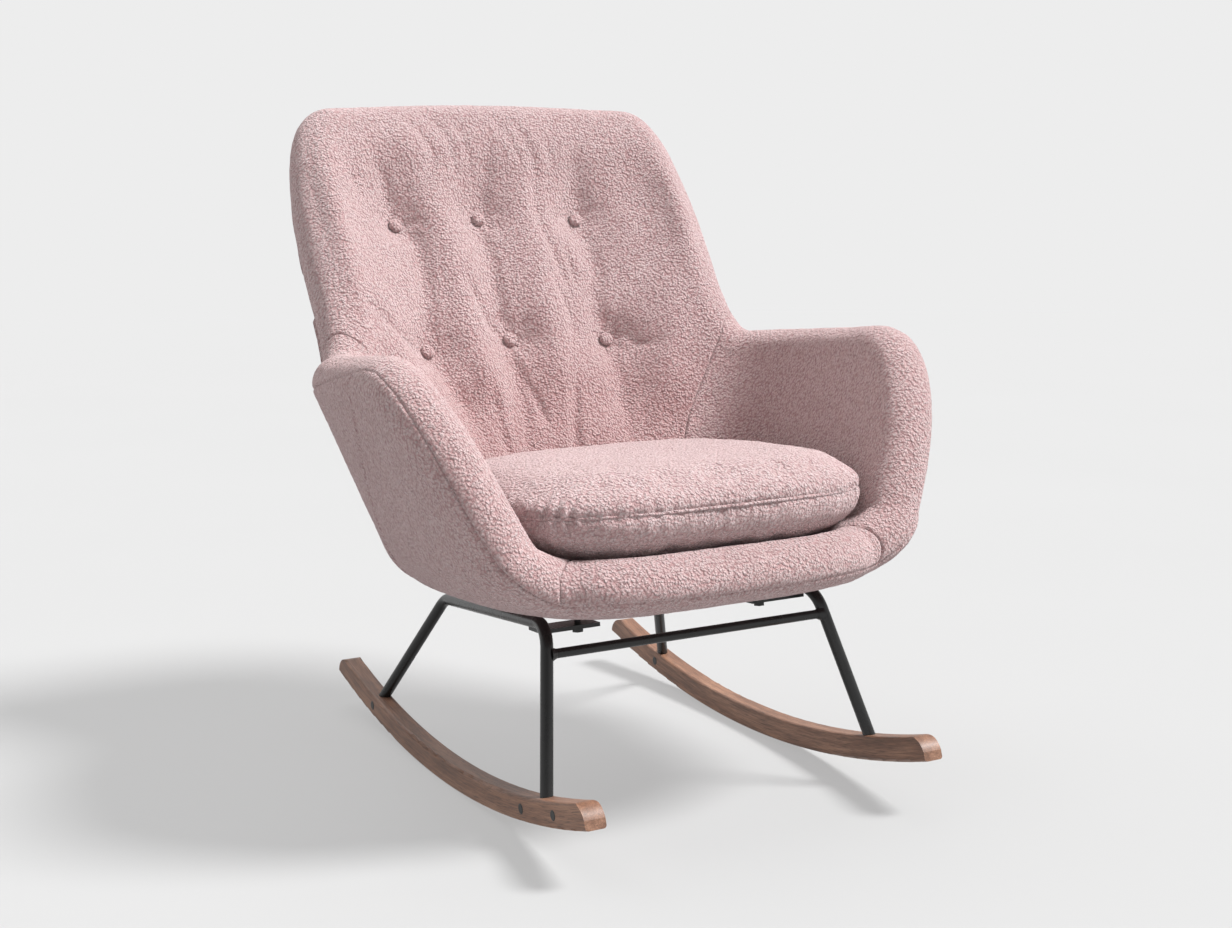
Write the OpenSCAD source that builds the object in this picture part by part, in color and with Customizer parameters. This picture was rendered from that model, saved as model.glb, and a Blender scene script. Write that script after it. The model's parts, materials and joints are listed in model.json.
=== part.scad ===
// Rocking nursery chair: a tufted bucket seat with a loose cushion, carried on two bent
// steel hoops whose legs stand in curved wooden runners.
// The chair faces -Y, +X is the sitter's left and +Z is up. The origin lies on the floor
// under the middle of the chair's bounding box. All lengths are millimetres.

/* [Runners] */
// Radius of the arc that rolls on the floor
runner_radius = 1450; // [1300:10:1700]
// Where the arc touches the floor, along Y
rock_y = 15; // [0:1:60]
// Front end of the runners, along Y
runner_front_y = -432.7; // [-450:0.1:-400]
// Rear end of the runners, along Y
runner_rear_y = 397; // [370:1:420]
// Height of the runner's section
runner_h = 32; // [30:1:38]
// Width of the runner's section
runner_w = 27; // [24:1:34]
// Distance of each runner's centre plane from the middle of the chair
runner_x = 236; // [225:1:250]
// Rounding of the runner's long edges
runner_edge = 4; // [2:0.5:6]
// Rounding of the runner's upper front corner
front_end_r = 25; // [18:1:28]
// Rounding of the runner's upper rear corner
rear_end_r = 29; // [18:1:29]

/* [Hoops] */
// Outer diameter of the hoop's tube
tube_d = 16; // [14:1:18]
// Wall of the hoop's tube
tube_wall = 1.5; // [1:0.5:2.5]
// How far the leg's tube is let into the runner
tube_depth = 5; // [5:0.5:7]
// How far the spigot in the leg's end reaches into the runner
spigot_depth = 22; // [18:1:22]
// Diameter of the spigot
spigot_d = 11; // [8:0.5:11]
// Front upper bend of the hoop: half spacing
hoop_front_x = 195; // [185:1:205]
// Front upper bend of the hoop: Y
hoop_front_y = -229; // [-240:1:-215]
// Front upper bend of the hoop: height
hoop_front_z = 256; // [248:1:257]
// Rear upper bend of the hoop: half spacing
hoop_rear_x = 170; // [160:1:180]
// Rear upper bend of the hoop: Y
hoop_rear_y = 154; // [140:1:165]
// Rear upper bend of the hoop: height
hoop_rear_z = 206; // [195:1:208]
// Half spacing of the front legs at the runners
front_foot_x = 234; // [230:0.5:236]
// Half spacing of the rear legs at the runners
rear_foot_x = 232.5; // [230:0.5:234]
// Y of the front leg at the top of its socket
front_foot_y = -301; // [-315:1:-290]
// Y of the rear leg at the top of its socket
rear_foot_y = 244; // [235:1:255]
// Radius of the front bend, at the tube's axis
front_bend_r = 38; // [30:1:45]
// Radius of the rear bend, at the tube's axis
rear_bend_r = 26; // [22:1:40]
// Height of the front cross bar along the front leg, as a fraction
bar_at = 0.82; // [0.6:0.01:0.84]
// Outer diameter of the cross bar
bar_d = 12; // [10:1:13]

/* [Fasteners] */
// Diameter of the black caps over the runner screws
cap_d = 13; // [12:0.5:14]
// Distance of each clamp screw from the front leg, along the runner
clamp_offset = 46; // [30:1:50]
// Diameter of the bolts that hold the seat to the hoops
seat_bolt_d = 8; // [6:1:8]
// Y of the front pair of seat bolts
bolt_front_y = -190; // [-195:1:-170]
// Y of the rear pair of seat bolts
bolt_rear_y = -36; // [-45:1:-30]
// Half spacing of the seat bolts
bolt_x = 134; // [128:1:136]

/* [Bucket seat] */
// Y of the lowest point of the bucket
seat_y = -82; // [-90:1:-75]
// Height of the middle of the bucket's wall at its lowest point
seat_z = 269; // [268:1:280]
// Backward tilt of the seat, degrees
seat_tilt = 3.9; // [3:0.1:5]
// Half width of the bowl at seat level
bowl_half_w = 291.5; // [285:0.5:300]
// Reach of the bowl behind its lowest point
bowl_rear = 231; // [225:1:240]
// Reach of the bowl in front of its lowest point
bowl_front = 328; // [320:1:335]
// Height of the bowl's curve at the sides
bowl_h = 78.5; // [75:0.5:85]
// Height of the bowl's curve at the back
bowl_rear_h = 130; // [120:1:140]
// Height of the bowl's curve at the front
bowl_front_h = 95.5; // [90:0.5:105]
// Outward lean of the arms, degrees
arm_lean = 19; // [16:0.5:22]
// Backward lean of the back, degrees
back_lean = 26.3; // [22:0.1:29]
// Forward lean of the front, degrees
front_lean = 31.7; // [28:0.1:34]
// Thickness of the padded wall
wall_t = 74.5; // [66:0.5:78]
// Thickness of the padded bottom
bottom_t = 64; // [60:1:66]

/* [Rim] */
// Height of the rim at the back, before the seat's tilt
back_top_z = 932; // [900:1:950]
// Height of the rim at the arms, before the seat's tilt
arm_top_z = 574.5; // [560:0.5:590]
// Height of the rim at the front lip, before the seat's tilt
lip_z = 312.5; // [308:0.5:318]
// Fall of the top edge from its middle to 30 degrees round
crown = 10.6; // [5:0.1:16]

/* [Tufting] */
// Angle of the outer buttons of the upper row
upper_button_a = 20; // [17:0.5:22]
// Angle of the outer buttons of the lower row
lower_button_a = 25; // [22:0.5:27]
// Girth of the upper row
upper_button_g = 2.2; // [2.1:0.05:2.3]
// Girth of the lower row
lower_button_g = 1.6; // [1.5:0.05:1.7]
// Diameter of the covered buttons
button_d = 21; // [18:1:24]
// Depth of the dimples
dimple_depth = 24; // [14:1:24]
// How far round to one side the outer buttons lie, in degrees
outer_button_shift = -2.4; // [-3:0.2:0]
// How far round to one side the middle buttons lie, in degrees
middle_button_shift = -4.4; // [-5:0.2:0]
// Radius over which a dimple fades
dimple_r = 27; // [22:1:34]
// Hollowing of the inner back
back_hollow = 14; // [0:1:14]

/* [Seat cushion] */
// Half width of the cushion
cushion_half_w = 248; // [235:1:249]
// Front of the cushion, along Y
cushion_front_y = -345; // [-348:1:-335]
// Back of the cushion, along Y
cushion_back_y = 92; // [80:1:94]
// Height of the cushion's seam at its middle
cushion_seam_z = 387; // [386:0.5:390]
// Rise of the cushion above its seam
cushion_up = 52; // [40:1:60]
// Fall of the cushion below its seam
cushion_down = 63; // [55:1:64]

/* [Hidden] */

$fn = 48;
gap = 0.4;
core_gap = 6;
fabric = "#cda6a8";
foam = "#e8dcc0";
wood = "#7d5a45";
board = "#c9a877";
black = "#1c1c1e";
steel = "#9a9da1";

// ---------- small helpers ----------

function unit(v) = v / norm(v);
function smooth_min(a, b, k) =
    let(h = max(k - abs(a - b), 0) / k) min(a, b) - h * h * k / 4;
function smooth_max(a, b, k) = -smooth_min(-a, -b, k);
function smooth_step(t) = let(c = min(max(t, 0), 1)) c * c * (3 - 2 * c);
function span(from, to, count) = [for (i = [0 : count]) from + (to - from) * i / count];

// Places +Z of the children along the vector d, at p
module aim(p, d) {
    translate(p) rotate([0, acos(d[2] / norm(d)), atan2(d[1], d[0])]) children();
}

module rod(p, q, r) {
    aim(p, q - p) cylinder(h = norm(q - p), r = r);
}

module both_sides() {
    children();
    mirror([1, 0, 0]) children();
}

// ---------- runners ----------

runner_top_r = runner_radius - runner_h;
runner_mid_r = runner_radius - runner_h / 2;
front_deg = asin((runner_front_y - rock_y) / runner_radius);
rear_deg = asin((runner_rear_y - rock_y) / runner_radius);

// A point of the arc: angle from the contact point, radius, distance from the middle
function on_arc(deg, r, x) = [x, rock_y + r * sin(deg), runner_radius - r * cos(deg)];
function arc_deg(y, r) = asin((y - rock_y) / r);

front_leg_deg = arc_deg(front_foot_y, runner_top_r);
rear_leg_deg = arc_deg(rear_foot_y, runner_top_r);
front_top = [hoop_front_x, hoop_front_y, hoop_front_z];
rear_top = [hoop_rear_x, hoop_rear_y, hoop_rear_z];
front_entry = on_arc(front_leg_deg, runner_top_r, front_foot_x);
rear_entry = on_arc(rear_leg_deg, runner_top_r, rear_foot_x);
leg_dir = unit(front_top - front_entry);
drop_dir = unit(rear_entry - rear_top);
rail_dir = unit(rear_top - front_top);
front_foot = front_entry - tube_depth * leg_dir;
rear_foot = rear_entry + tube_depth * drop_dir;
front_tip = front_entry - spigot_depth * leg_dir;
rear_tip = rear_entry + spigot_depth * drop_dir;
clamp_deg = clamp_offset / runner_radius * 180 / PI;
cap_t = 1.6;
head_t = 2.6;
counterbore = cap_t + head_t;
runner_out = runner_x + runner_w / 2;
runner_in = runner_x - runner_w / 2;
bolt_bore_r = 3.1;
clamp_angles = [front_leg_deg - clamp_deg, front_leg_deg + clamp_deg];
bolt_deg = arc_deg(rear_entry[1] + runner_h / 2 * drop_dir[1], runner_mid_r);

module round_bar_section(h, w, r) {
    square([h - 2 * r, w], center = true);
    square([h, w - 2 * r], center = true);
    for (x = [-1, 1], y = [-1, 1])
        translate([x * (h / 2 - r), y * (w / 2 - r)]) circle(r);
}

// Cuts the upper corner of a runner's end to a round, seen along X
module end_round(deg, r, side) {
    ease = 0.4;
    translate(on_arc(deg, runner_top_r, 0))
        rotate([deg, 0, 0]) rotate([90, 0, 90])
        linear_extrude(height = 2 * runner_out + 20, center = true)
        translate([-side * (r - ease), ease - r])
        difference() {
            translate([side > 0 ? 0 : -1.2 * r, 0]) square([1.2 * r, 1.2 * r]);
            circle(r, $fn = 96);
        }
}

module counterbored(deg, x, dir, r, depth) {
    p = on_arc(deg, runner_mid_r, x);
    rod(p + [dir, 0, 0], p - [dir * depth, 0, 0], r);
}

module runner() {
    difference() {
        translate([runner_x, rock_y, runner_radius]) rotate([0, 90, 0])
            rotate([0, 0, front_deg])
            rotate_extrude(angle = rear_deg - front_deg, $fn = 720)
            translate([runner_mid_r, 0]) round_bar_section(runner_h, runner_w, runner_edge);
        end_round(front_deg, front_end_r, -1);
        end_round(rear_deg, rear_end_r, 1);
        rod(front_foot, front_top, tube_d / 2 + 0.05);
        rod(rear_foot, rear_top, tube_d / 2 + 0.05);
        rod(front_tip, front_top, spigot_d / 2 + 0.05);
        rod(rear_tip, rear_top, spigot_d / 2 + 0.05);
        counterbored(bolt_deg, runner_out, 1, cap_d / 2, counterbore);
        counterbored(bolt_deg, runner_in, -1, cap_d / 2, counterbore);
        counterbored(bolt_deg, runner_out, 1, bolt_bore_r, runner_w + 1);
        for (deg = clamp_angles) {
            counterbored(deg, runner_out, 1, cap_d / 2, counterbore);
            counterbored(deg, runner_out, 1, 2.05, 22);
        }
    }
}

module runner_left() { color(wood) runner(); }
module runner_right() { color(wood) mirror([1, 0, 0]) runner(); }

// Cap that closes a counterbore: a disc with a slightly domed face
module cap(p, dir) {
    aim(p - [dir * cap_t, 0, 0], [dir, 0, 0]) {
        cylinder(h = cap_t, r = cap_d / 2 - 0.05);
        translate([0, 0, cap_t]) cylinder(h = 0.6, r1 = cap_d / 2 - 0.2, r2 = cap_d / 2 - 1.2);
    }
}

module screw_caps() {
    color(black) both_sides() {
        for (deg = concat([bolt_deg], clamp_angles))
            cap(on_arc(deg, runner_mid_r, runner_out), 1);
        cap(on_arc(bolt_deg, runner_mid_r, runner_in), -1);
    }
}

// Bolt through the runner and the spigot of the rear leg
module runner_bolts() {
    color(steel) both_sides() {
        p = on_arc(bolt_deg, runner_mid_r, runner_out - counterbore);
        rod(p, p + [head_t - 0.1, 0, 0], 5);
        rod(p, p - [runner_w - 2 * counterbore + 2, 0, 0], 3);
    }
}

module runner_bolt_nuts() {
    color(steel) both_sides() {
        p = on_arc(bolt_deg, runner_mid_r, runner_in + counterbore);
        difference() {
            rod(p - [head_t - 0.1, 0, 0], p, 5);
            rod(p - [head_t, 0, 0], p + [1, 0, 0], 3.05);
        }
    }
}

// Screws that clamp the runner on either side of the front leg's socket
module clamp_screws() {
    color(steel) both_sides() for (deg = clamp_angles) {
        p = on_arc(deg, runner_mid_r, runner_out - counterbore);
        rod(p, p + [head_t - 0.1, 0, 0], 4.5);
        rod(p, p - [16, 0, 0], 2);
    }
}

// ---------- hoops ----------

// Distance from a corner to where its bend starts
function bend_len(u, w, r) = r * tan(acos(u * w) / 2);

module ring(r_out, r_in) {
    difference() {
        circle(r_out);
        circle(r_in);
    }
}

// Elbow at corner c, entered along u and left along w
module elbow(c, u, w, bend_r, r) {
    n = unit(w - (w * u) * u);
    k = cross(u, n);
    o = c - bend_len(u, w, bend_r) * u + bend_r * n;
    multmatrix([
        [-n[0], u[0], k[0], o[0]],
        [-n[1], u[1], k[1], o[1]],
        [-n[2], u[2], k[2], o[2]]
    ])
        rotate_extrude(angle = acos(u * w), $fn = 96) translate([bend_r, 0]) circle(r);
}

// The hoop's path as a round bar of radius r, run on past both feet by over. The straight
// lengths lap a little over the elbows, which are a hair thinner.
module bent_bar(r, over) {
    lap = 0.3;
    elbow_r = r - 0.03;
    front_cut = bend_len(leg_dir, rail_dir, front_bend_r) - lap;
    rear_cut = bend_len(rail_dir, drop_dir, rear_bend_r) - lap;
    rod(front_foot - over * leg_dir, front_top - front_cut * leg_dir, r);
    elbow(front_top, leg_dir, rail_dir, front_bend_r, elbow_r);
    rod(front_top + front_cut * rail_dir, rear_top - rear_cut * rail_dir, r);
    elbow(rear_top, rail_dir, drop_dir, rear_bend_r, elbow_r);
    rod(rear_top + rear_cut * drop_dir, rear_foot + over * drop_dir, r);
}

module side_frame() {
    difference() {
        bent_bar(tube_d / 2, 0);
        bent_bar(tube_d / 2 - tube_wall, 1);
    }
}

module side_frame_left() { color(black) side_frame(); }
module side_frame_right() { color(black) mirror([1, 0, 0]) side_frame(); }

// Turned spigot pressed into a leg's end
module spigot(foot, tip) {
    up = unit(foot - tip);
    rod(tip, foot, spigot_d / 2);
    rod(foot, foot + 18 * up, tube_d / 2 - tube_wall - 0.05);
}

module leg_spigots() {
    color(steel) both_sides() {
        spigot(front_foot, front_tip);
        difference() {
            spigot(rear_foot, rear_tip);
            counterbored(bolt_deg, runner_out, 1, bolt_bore_r, runner_w + 1);
        }
    }
}

bar_end = front_entry + bar_at * (front_top - front_entry);
bar_start = [-bar_end[0], bar_end[1], bar_end[2]];

module legs_as_rods(r) {
    both_sides() rod(front_foot, front_top, r);
}

module front_cross_bar() {
    color(black) difference() {
        rod(bar_start, bar_end, bar_d / 2);
        rod(bar_start, bar_end, bar_d / 2 - tube_wall);
        legs_as_rods(tube_d / 2);
    }
}

// Weld bead round each end of the cross bar
module cross_bar_welds() {
    bead = 3;
    weld_x = bar_end[0] - tube_d / 2 - bead - 1;
    color(black) difference() {
        both_sides() aim([weld_x, bar_end[1], bar_end[2]], [1, 0, 0])
            cylinder(h = 2 * bead + 2, r1 = bar_d / 2 + 0.3, r2 = bar_d / 2 + bead + 1);
        rod(bar_start, bar_end, bar_d / 2);
        legs_as_rods(tube_d / 2);
    }
}

// ---------- seat fixing ----------

lug_w = 38;
lug_t = 5;
lug_reach = 22;
front_lug_z = 242.5;
rear_lug_z = 232.5;

function rail_at(y) =
    front_top + (rear_top - front_top) * (y - front_top[1]) / (rear_top[1] - front_top[1]);

// Every seat bolt, with the height of its lug's top
bolt_places = [[bolt_front_y, front_lug_z], [bolt_rear_y, rear_lug_z]];

// Frame of one lug: origin on its top face at the bolt, tilted with the seat
module at_bolt(place) {
    translate([bolt_x, place[0], place[1]]) rotate([-seat_tilt, 0, 0]) children();
}

// Flat lugs welded to the inner sides of the rails
module mounting_lugs() {
    color(black) both_sides() for (place = bolt_places) difference() {
        at_bolt(place) translate([-lug_reach, -lug_w / 2, -lug_t])
            cube([rail_at(place[0])[0] - bolt_x + lug_reach, lug_w, lug_t]);
        rod(front_top, rear_top, tube_d / 2);
        at_bolt(place) translate([0, 0, -lug_t - 1])
            cylinder(h = lug_t + 2, r = seat_bolt_d / 2 + 0.3);
    }
}

module seat_washers() {
    color(steel) both_sides() for (place = bolt_places)
        at_bolt(place) translate([0, 0, -lug_t - 1.6]) linear_extrude(height = 1.6)
        ring(seat_bolt_d, seat_bolt_d / 2 + 0.3);
}

bolt_len = 38;

module seat_bolts() {
    color(steel) both_sides() for (place = bolt_places) at_bolt(place) {
        translate([0, 0, -lug_t - 1.6]) cylinder(h = bolt_len, r = seat_bolt_d / 2);
        translate([0, 0, -lug_t - 1.6 - 5.3]) cylinder(h = 5.3, r = 7.5, $fn = 6);
    }
}

// Frame whose origin is the lowest point of the bucket's wall, tilted with the seat
module on_seat() {
    translate([0, seat_y, seat_z]) rotate([-seat_tilt, 0, 0]) children();
}

board_z = -11;
board_t = 12;
tee_t = 1.5;

// Board that closes the hole in the bottom of the shell
module base_board() {
    shrink = 0.93;
    color(board) difference() {
        on_seat() translate([0, 0, board_z]) linear_extrude(height = board_t)
            polygon([for (a = [-180 : 5 : 175])
                shrink * plan_r(a, core_low_h(a)) * [sin(a), cos(a)]]);
        both_sides() for (place = bolt_places) at_bolt(place) {
            cylinder(h = 60, r = seat_bolt_d / 2 + 1);
            translate([0, 0, seat_height(place) - tee_t]) cylinder(h = 30, r = 11);
        }
    }
}

// Height of the board's top above a lug's top
function seat_height(place) =
    (seat_z - place[1] - tan(seat_tilt) * (place[0] - seat_y)) * cos(seat_tilt)
        + board_z + board_t;

// Flanged nuts let into the top of the board
module tee_nuts() {
    color(steel) both_sides() for (place = bolt_places) at_bolt(place)
        translate([0, 0, seat_height(place) - tee_t]) {
            linear_extrude(height = tee_t) ring(10.5, seat_bolt_d / 2 + 0.05);
            translate([0, 0, -8]) linear_extrude(height = 8)
                ring(seat_bolt_d / 2 + 0.9, seat_bolt_d / 2 + 0.05);
        }
}

batten_ys = [-58, 16];
batten = [352, 34, 14];
batten_z = board_z + board_t + 0.3;

// Battens that carry the board from the shell on either side
module cross_battens() {
    color(board) on_seat() for (y = batten_ys) difference() {
        translate([-batten[0] / 2, y - batten[1] / 2, batten_z]) cube(batten);
        for (x = [-140, -60, 60, 140])
            translate([x, y, batten_z - 1]) cylinder(h = batten[2] + 2, r = 2.05);
    }
}

module batten_screws() {
    color(steel) on_seat() for (y = batten_ys, x = [-140, -60, 60, 140])
        translate([x, y, batten_z]) {
            cylinder(h = batten[2], r = 2);
            translate([0, 0, batten[2]]) cylinder(h = 1.8, r1 = 3.8, r2 = 3);
        }
}

// ---------- bucket surface ----------
// The bucket's wall is described by its middle surface and a thickness. A place on it has
// an angle a round the seat (0 at the back, 90 at +X, 180 at the front) and a girth g,
// measured up from the lowest point: 0 to 1 is the bowl, and above 1 the wall rises by
// wall_unit for each unit of girth.

wall_unit = 300;
bowl_n = 2.26;
plan_rear_n = 2.57;
plan_front_n = 3.73;
plan_wall_n = 3.28;

function bowl_top(a) =
    let(c = cos(a)) bowl_h + (c > 0 ? bowl_rear_h - bowl_h : bowl_front_h - bowl_h) * c * c;

// Height of the rim at angle a: back, shoulder, arm, front slope and lip in turn
function rim_z(a) =
    let(
        t = abs(a),
        back = back_top_z - crown * (t / 30) ^ 2,
        shoulder = (back_top_z + arm_top_z) / 2 - 17.8 * (t - 41.6),
        arm = arm_top_z + 5.6 * (t - 60) / 50,
        slope = (arm_top_z + lip_z) / 2 - 11.2 * (t - 123.9),
        sides = smooth_max(smooth_min(back, shoulder, 85), arm, 109)
    )
    smooth_max(smooth_min(sides, slope, 140), lip_z, 62);

function rim_g(a) =
    let(h = rim_z(a) - seat_z, top = bowl_top(a))
    h > top ? 1 + (h - top) / wall_unit : acos((1 - h / top) ^ (bowl_n / 2)) / 90;

// Plan radius at angle a and height h above the lowest point
function plan_r(a, h) =
    let(
        top = bowl_top(a),
        up = max(h - top, 0),
        side = bowl_half_w + tan(arm_lean) * up,
        reach = cos(a) >= 0 ? bowl_rear + tan(back_lean) * up : bowl_front + tan(front_lean) * up,
        n0 = cos(a) >= 0 ? plan_rear_n : plan_front_n,
        n = n0 + (plan_wall_n - n0) * min(up / 400, 1),
        r = ((abs(sin(a)) / side) ^ n + (abs(cos(a)) / reach) ^ n) ^ (-1 / n),
        k = min(max(h / top, 0), 1)
    )
    r * (1 - (1 - k) ^ bowl_n) ^ (1 / bowl_n);

function bowl_rise(a, g) = bowl_top(a) * (1 - cos(90 * g) ^ (2 / bowl_n));

function middle(a, g) =
    let(
        h = g < 1 ? bowl_rise(a, g) : bowl_top(a) + (g - 1) * wall_unit,
        r = plan_r(a, h)
    )
    [r * sin(a), seat_y + r * cos(a), seat_z + h - tan(seat_tilt) * r * cos(a)];

// Unit normal, towards the sitter
function normal(a, g) =
    unit(cross(
        middle(a + 0.4, g) - middle(a - 0.4, g),
        middle(a, min(g + 0.004, rim_g(a))) - middle(a, g - 0.004)
    ));

rim_step = 3;
rim_count = 360 / rim_step;
rim_line = [for (i = [0 : rim_count - 1])
    middle(rim_step * i - 180, rim_g(rim_step * i - 180))];

function segment_distance(p, a, b) =
    let(ab = b - a, t = min(max((p - a) * ab / (ab * ab), 0), 1)) norm(p - a - t * ab);
function rim_distance(p, a) =
    let(i0 = floor((a + 180) / rim_step))
    min([for (i = [i0 - 12 : i0 + 12]) segment_distance(
        p, rim_line[(i + rim_count) % rim_count], rim_line[(i + 1 + rim_count) % rim_count]
    )]);

// Half thickness: full in the wall, and round towards the rim
function half_t(a, g) =
    let(
        p = middle(a, g),
        half = (bottom_t + (wall_t - bottom_t) * smooth_step((p[2] - seat_z) / 120)) / 2,
        near = g > rim_g(a) - 0.5,
        q = g >= rim_g(a) ? 0 : near ? min(rim_distance(p, a) / half, 1) : 1
    )
    half * sqrt(1 - (1 - q) ^ 2);

// A point of the surface moved off the middle, towards the sitter when off is positive
function off_wall(a, g, off) = middle(a, g) + off * normal(a, g);

skin_t = 9;
core_t = 9;
core_low_g = 0.36;
core_edge = 0.06;
seam_edge = 0.08;

function core_low_h(a) = bowl_rise(a, core_low_g);
function core_outer(a, g) = off_wall(a, g, skin_t - half_t(a, g));
function core_inner(a, g) = off_wall(a, g, skin_t + core_t - half_t(a, g));

// Offsets of the covers' inner faces and the pads' linings, clear of the shell
function cover_in(a, g) = skin_t - core_gap - half_t(a, g);
function pad_in(a, g) = skin_t + core_t + core_gap - half_t(a, g);

// The shell and its covers share these rows and columns, so that their facets lie parallel.
// Girths from low up to the rim less a margin: close together in the bowl and by the rim
near_rim = [0.2, 0.14, 0.1, 0.075];
function girths_up(a, low, margin) =
    let(top = rim_g(a), bend = top - 0.25 - core_low_g)
    concat(
        [low],
        [for (i = [low > core_low_g ? 2 : 1 : 9])
            max(core_low_g + bend * (i / 9) ^ 1.5, low + 0.002 * i)],
        [for (d = near_rim) if (d > margin + 0.004) top - d],
        [top - margin]
    );
angle_step = 4;
function angles_round(from, to) = concat(
    [from],
    [for (i = [ceil(from / angle_step + 0.2) : floor(to / angle_step - 0.2)]) i * angle_step],
    [to]
);

// ---------- solids made of rows of points ----------

// A closed solid between two sheets of points. Rows follow the angle and columns the girth.
// The face sheet looks towards the sitter. A ring's last row joins its first.
module slab(face, back, ring = false) {
    rows = len(face);
    cols = len(face[0]);
    last = ring ? rows - 1 : rows - 2;
    function f(i, j) = (i % rows) * cols + j;
    function b(i, j) = rows * cols + f(i, j);
    function quad(p, q, r, s) = [[p, r, q], [p, s, r]];
    sheets = [for (i = [0 : last], j = [0 : cols - 2]) each concat(
        quad(f(i, j), f(i + 1, j), f(i + 1, j + 1), f(i, j + 1)),
        quad(b(i, j), b(i, j + 1), b(i + 1, j + 1), b(i + 1, j))
    )];
    edges = [for (i = [0 : last]) each concat(
        quad(f(i, 0), b(i, 0), b(i + 1, 0), f(i + 1, 0)),
        quad(f(i + 1, cols - 1), b(i + 1, cols - 1), b(i, cols - 1), f(i, cols - 1))
    )];
    ends = ring ? [] : [for (j = [0 : cols - 2]) each concat(
        quad(f(0, j + 1), b(0, j + 1), b(0, j), f(0, j)),
        quad(f(last + 1, j), b(last + 1, j), b(last + 1, j + 1), f(last + 1, j + 1))
    )];
    polyhedron(
        points = concat([for (row = face) each row], [for (row = back) each row]),
        faces = concat(sheets, edges, ends)
    );
}

// The same between two dished sheets that close over a middle point each
module dish(face, back, face_middle, back_middle) {
    rows = len(face);
    cols = len(face[0]);
    mid_f = 2 * rows * cols;
    function f(i, j) = (i % rows) * cols + j;
    function b(i, j) = rows * cols + f(i, j);
    function quad(p, q, r, s) = [[p, r, q], [p, s, r]];
    sheets = [for (i = [0 : rows - 1], j = [0 : cols - 2]) each concat(
        quad(f(i, j), f(i + 1, j), f(i + 1, j + 1), f(i, j + 1)),
        quad(b(i, j), b(i, j + 1), b(i + 1, j + 1), b(i + 1, j))
    )];
    rims = [for (i = [0 : rows - 1]) each concat(
        quad(f(i + 1, cols - 1), b(i + 1, cols - 1), b(i, cols - 1), f(i, cols - 1)),
        [[f(i, 0), f(i + 1, 0), mid_f], [b(i + 1, 0), b(i, 0), mid_f + 1]]
    )];
    polyhedron(
        points = concat(
            [for (row = face) each row], [for (row = back) each row],
            [face_middle, back_middle]
        ),
        faces = concat(sheets, rims)
    );
}

round_a = [for (i = [0 : 360 / angle_step - 1]) angle_step * i - 180];

// ---------- shell, bottom and outer covers ----------

// Moulded shell with an open bottom
module shell_core() {
    function girths(a) = girths_up(a, core_low_g, core_edge);
    color(board) slab(
        [for (a = round_a) [for (g = girths(a)) core_inner(a, g)]],
        [for (a = round_a) [for (g = girths(a)) core_outer(a, g)]],
        ring = true
    );
}

// Fabric on wadding over the bottom of the bowl
module bottom_cover() {
    ring_g = [0.08, 0.17, 0.26, core_low_g - 0.005];
    angles = [for (i = [0 : 23]) 15 * i - 180];
    color(fabric) dish(
        [for (a = angles) [for (g = ring_g) off_wall(a, g, cover_in(a, g))]],
        [for (a = angles) [for (g = ring_g) off_wall(a, g, -half_t(a, g))]],
        off_wall(0, 0.01, skin_t - core_gap - bottom_t / 2),
        off_wall(0, 0.01, -bottom_t / 2)
    );
}

// Outer covers run from the hole in the shell up to the seam below the rim
module outer_cover(from, to) {
    function girths(a) = girths_up(a, core_low_g, seam_edge + 0.012);
    angles = angles_round(from, to);
    color(fabric) slab(
        [for (a = angles) [for (g = girths(a)) off_wall(a, g, cover_in(a, g))]],
        [for (a = angles) [for (g = girths(a)) off_wall(a, g, -half_t(a, g))]]
    );
}

back_seam_a = 84;
front_seam_a = 139;

module outer_back() { outer_cover(-back_seam_a, back_seam_a); }
module outer_side_left() { outer_side(); }
module outer_side_right() { mirror([1, 0, 0]) outer_side(); }
module outer_side() { outer_cover(back_seam_a + 0.3, front_seam_a); }
module outer_front() { outer_cover(front_seam_a + 0.3, 360 - front_seam_a - 0.3); }

// ---------- inner pads ----------

deck_g = 0.4;

// One column of a pad: [girth, side of the wall, turn round the shell's edge]
function over_rim(a) =
    let(top = rim_g(a), edge = top - core_edge)
    [
        [edge, 1, 0.1],
        [top - 0.022, 1, 0.3],
        [top, 1, 0.5],
        [top - 0.022, -1, 0.7],
        [edge, -1, 0.9],
        [top - seam_edge, -1, 1]
    ];

function pad_skin(a, c, sunk) =
    off_wall(a, c[0], c[1] * half_t(a, c[0]) - sunk);

// The inside of a pad follows the shell and turns round its upper edge
function pad_lining(a, c) =
    let(
        edge = rim_g(a) - core_edge,
        clear = core_gap / wall_unit,
        g = c[2] > 0 && c[2] < 1 ? edge + clear : c[0],
        inner = pad_in(a, g),
        outer = cover_in(a, g)
    )
    off_wall(a, g, inner + (outer - inner) * c[2]);

module pad(angles, low) {
    columns = [for (a = angles)
        concat([for (g = girths_up(a, low, 0.075)) [g, 1, 0]], over_rim(a))];
    color(fabric) slab(
        [for (i = [0 : len(angles) - 1]) [for (c = columns[i]) pad_skin(angles[i], c, 0)]],
        [for (i = [0 : len(angles) - 1]) [for (c = columns[i]) pad_lining(angles[i], c)]]
    );
}

inner_seam_a = 49;
lip_seam_a = 141;

module inner_arm() { pad(angles_round(inner_seam_a + 0.3, lip_seam_a), deck_g); }
module inner_arm_left() { inner_arm(); }
module inner_arm_right() { mirror([1, 0, 0]) inner_arm(); }
module front_roll() { pad(angles_round(lip_seam_a + 0.3, 360 - lip_seam_a - 0.3), deck_g); }

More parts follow.
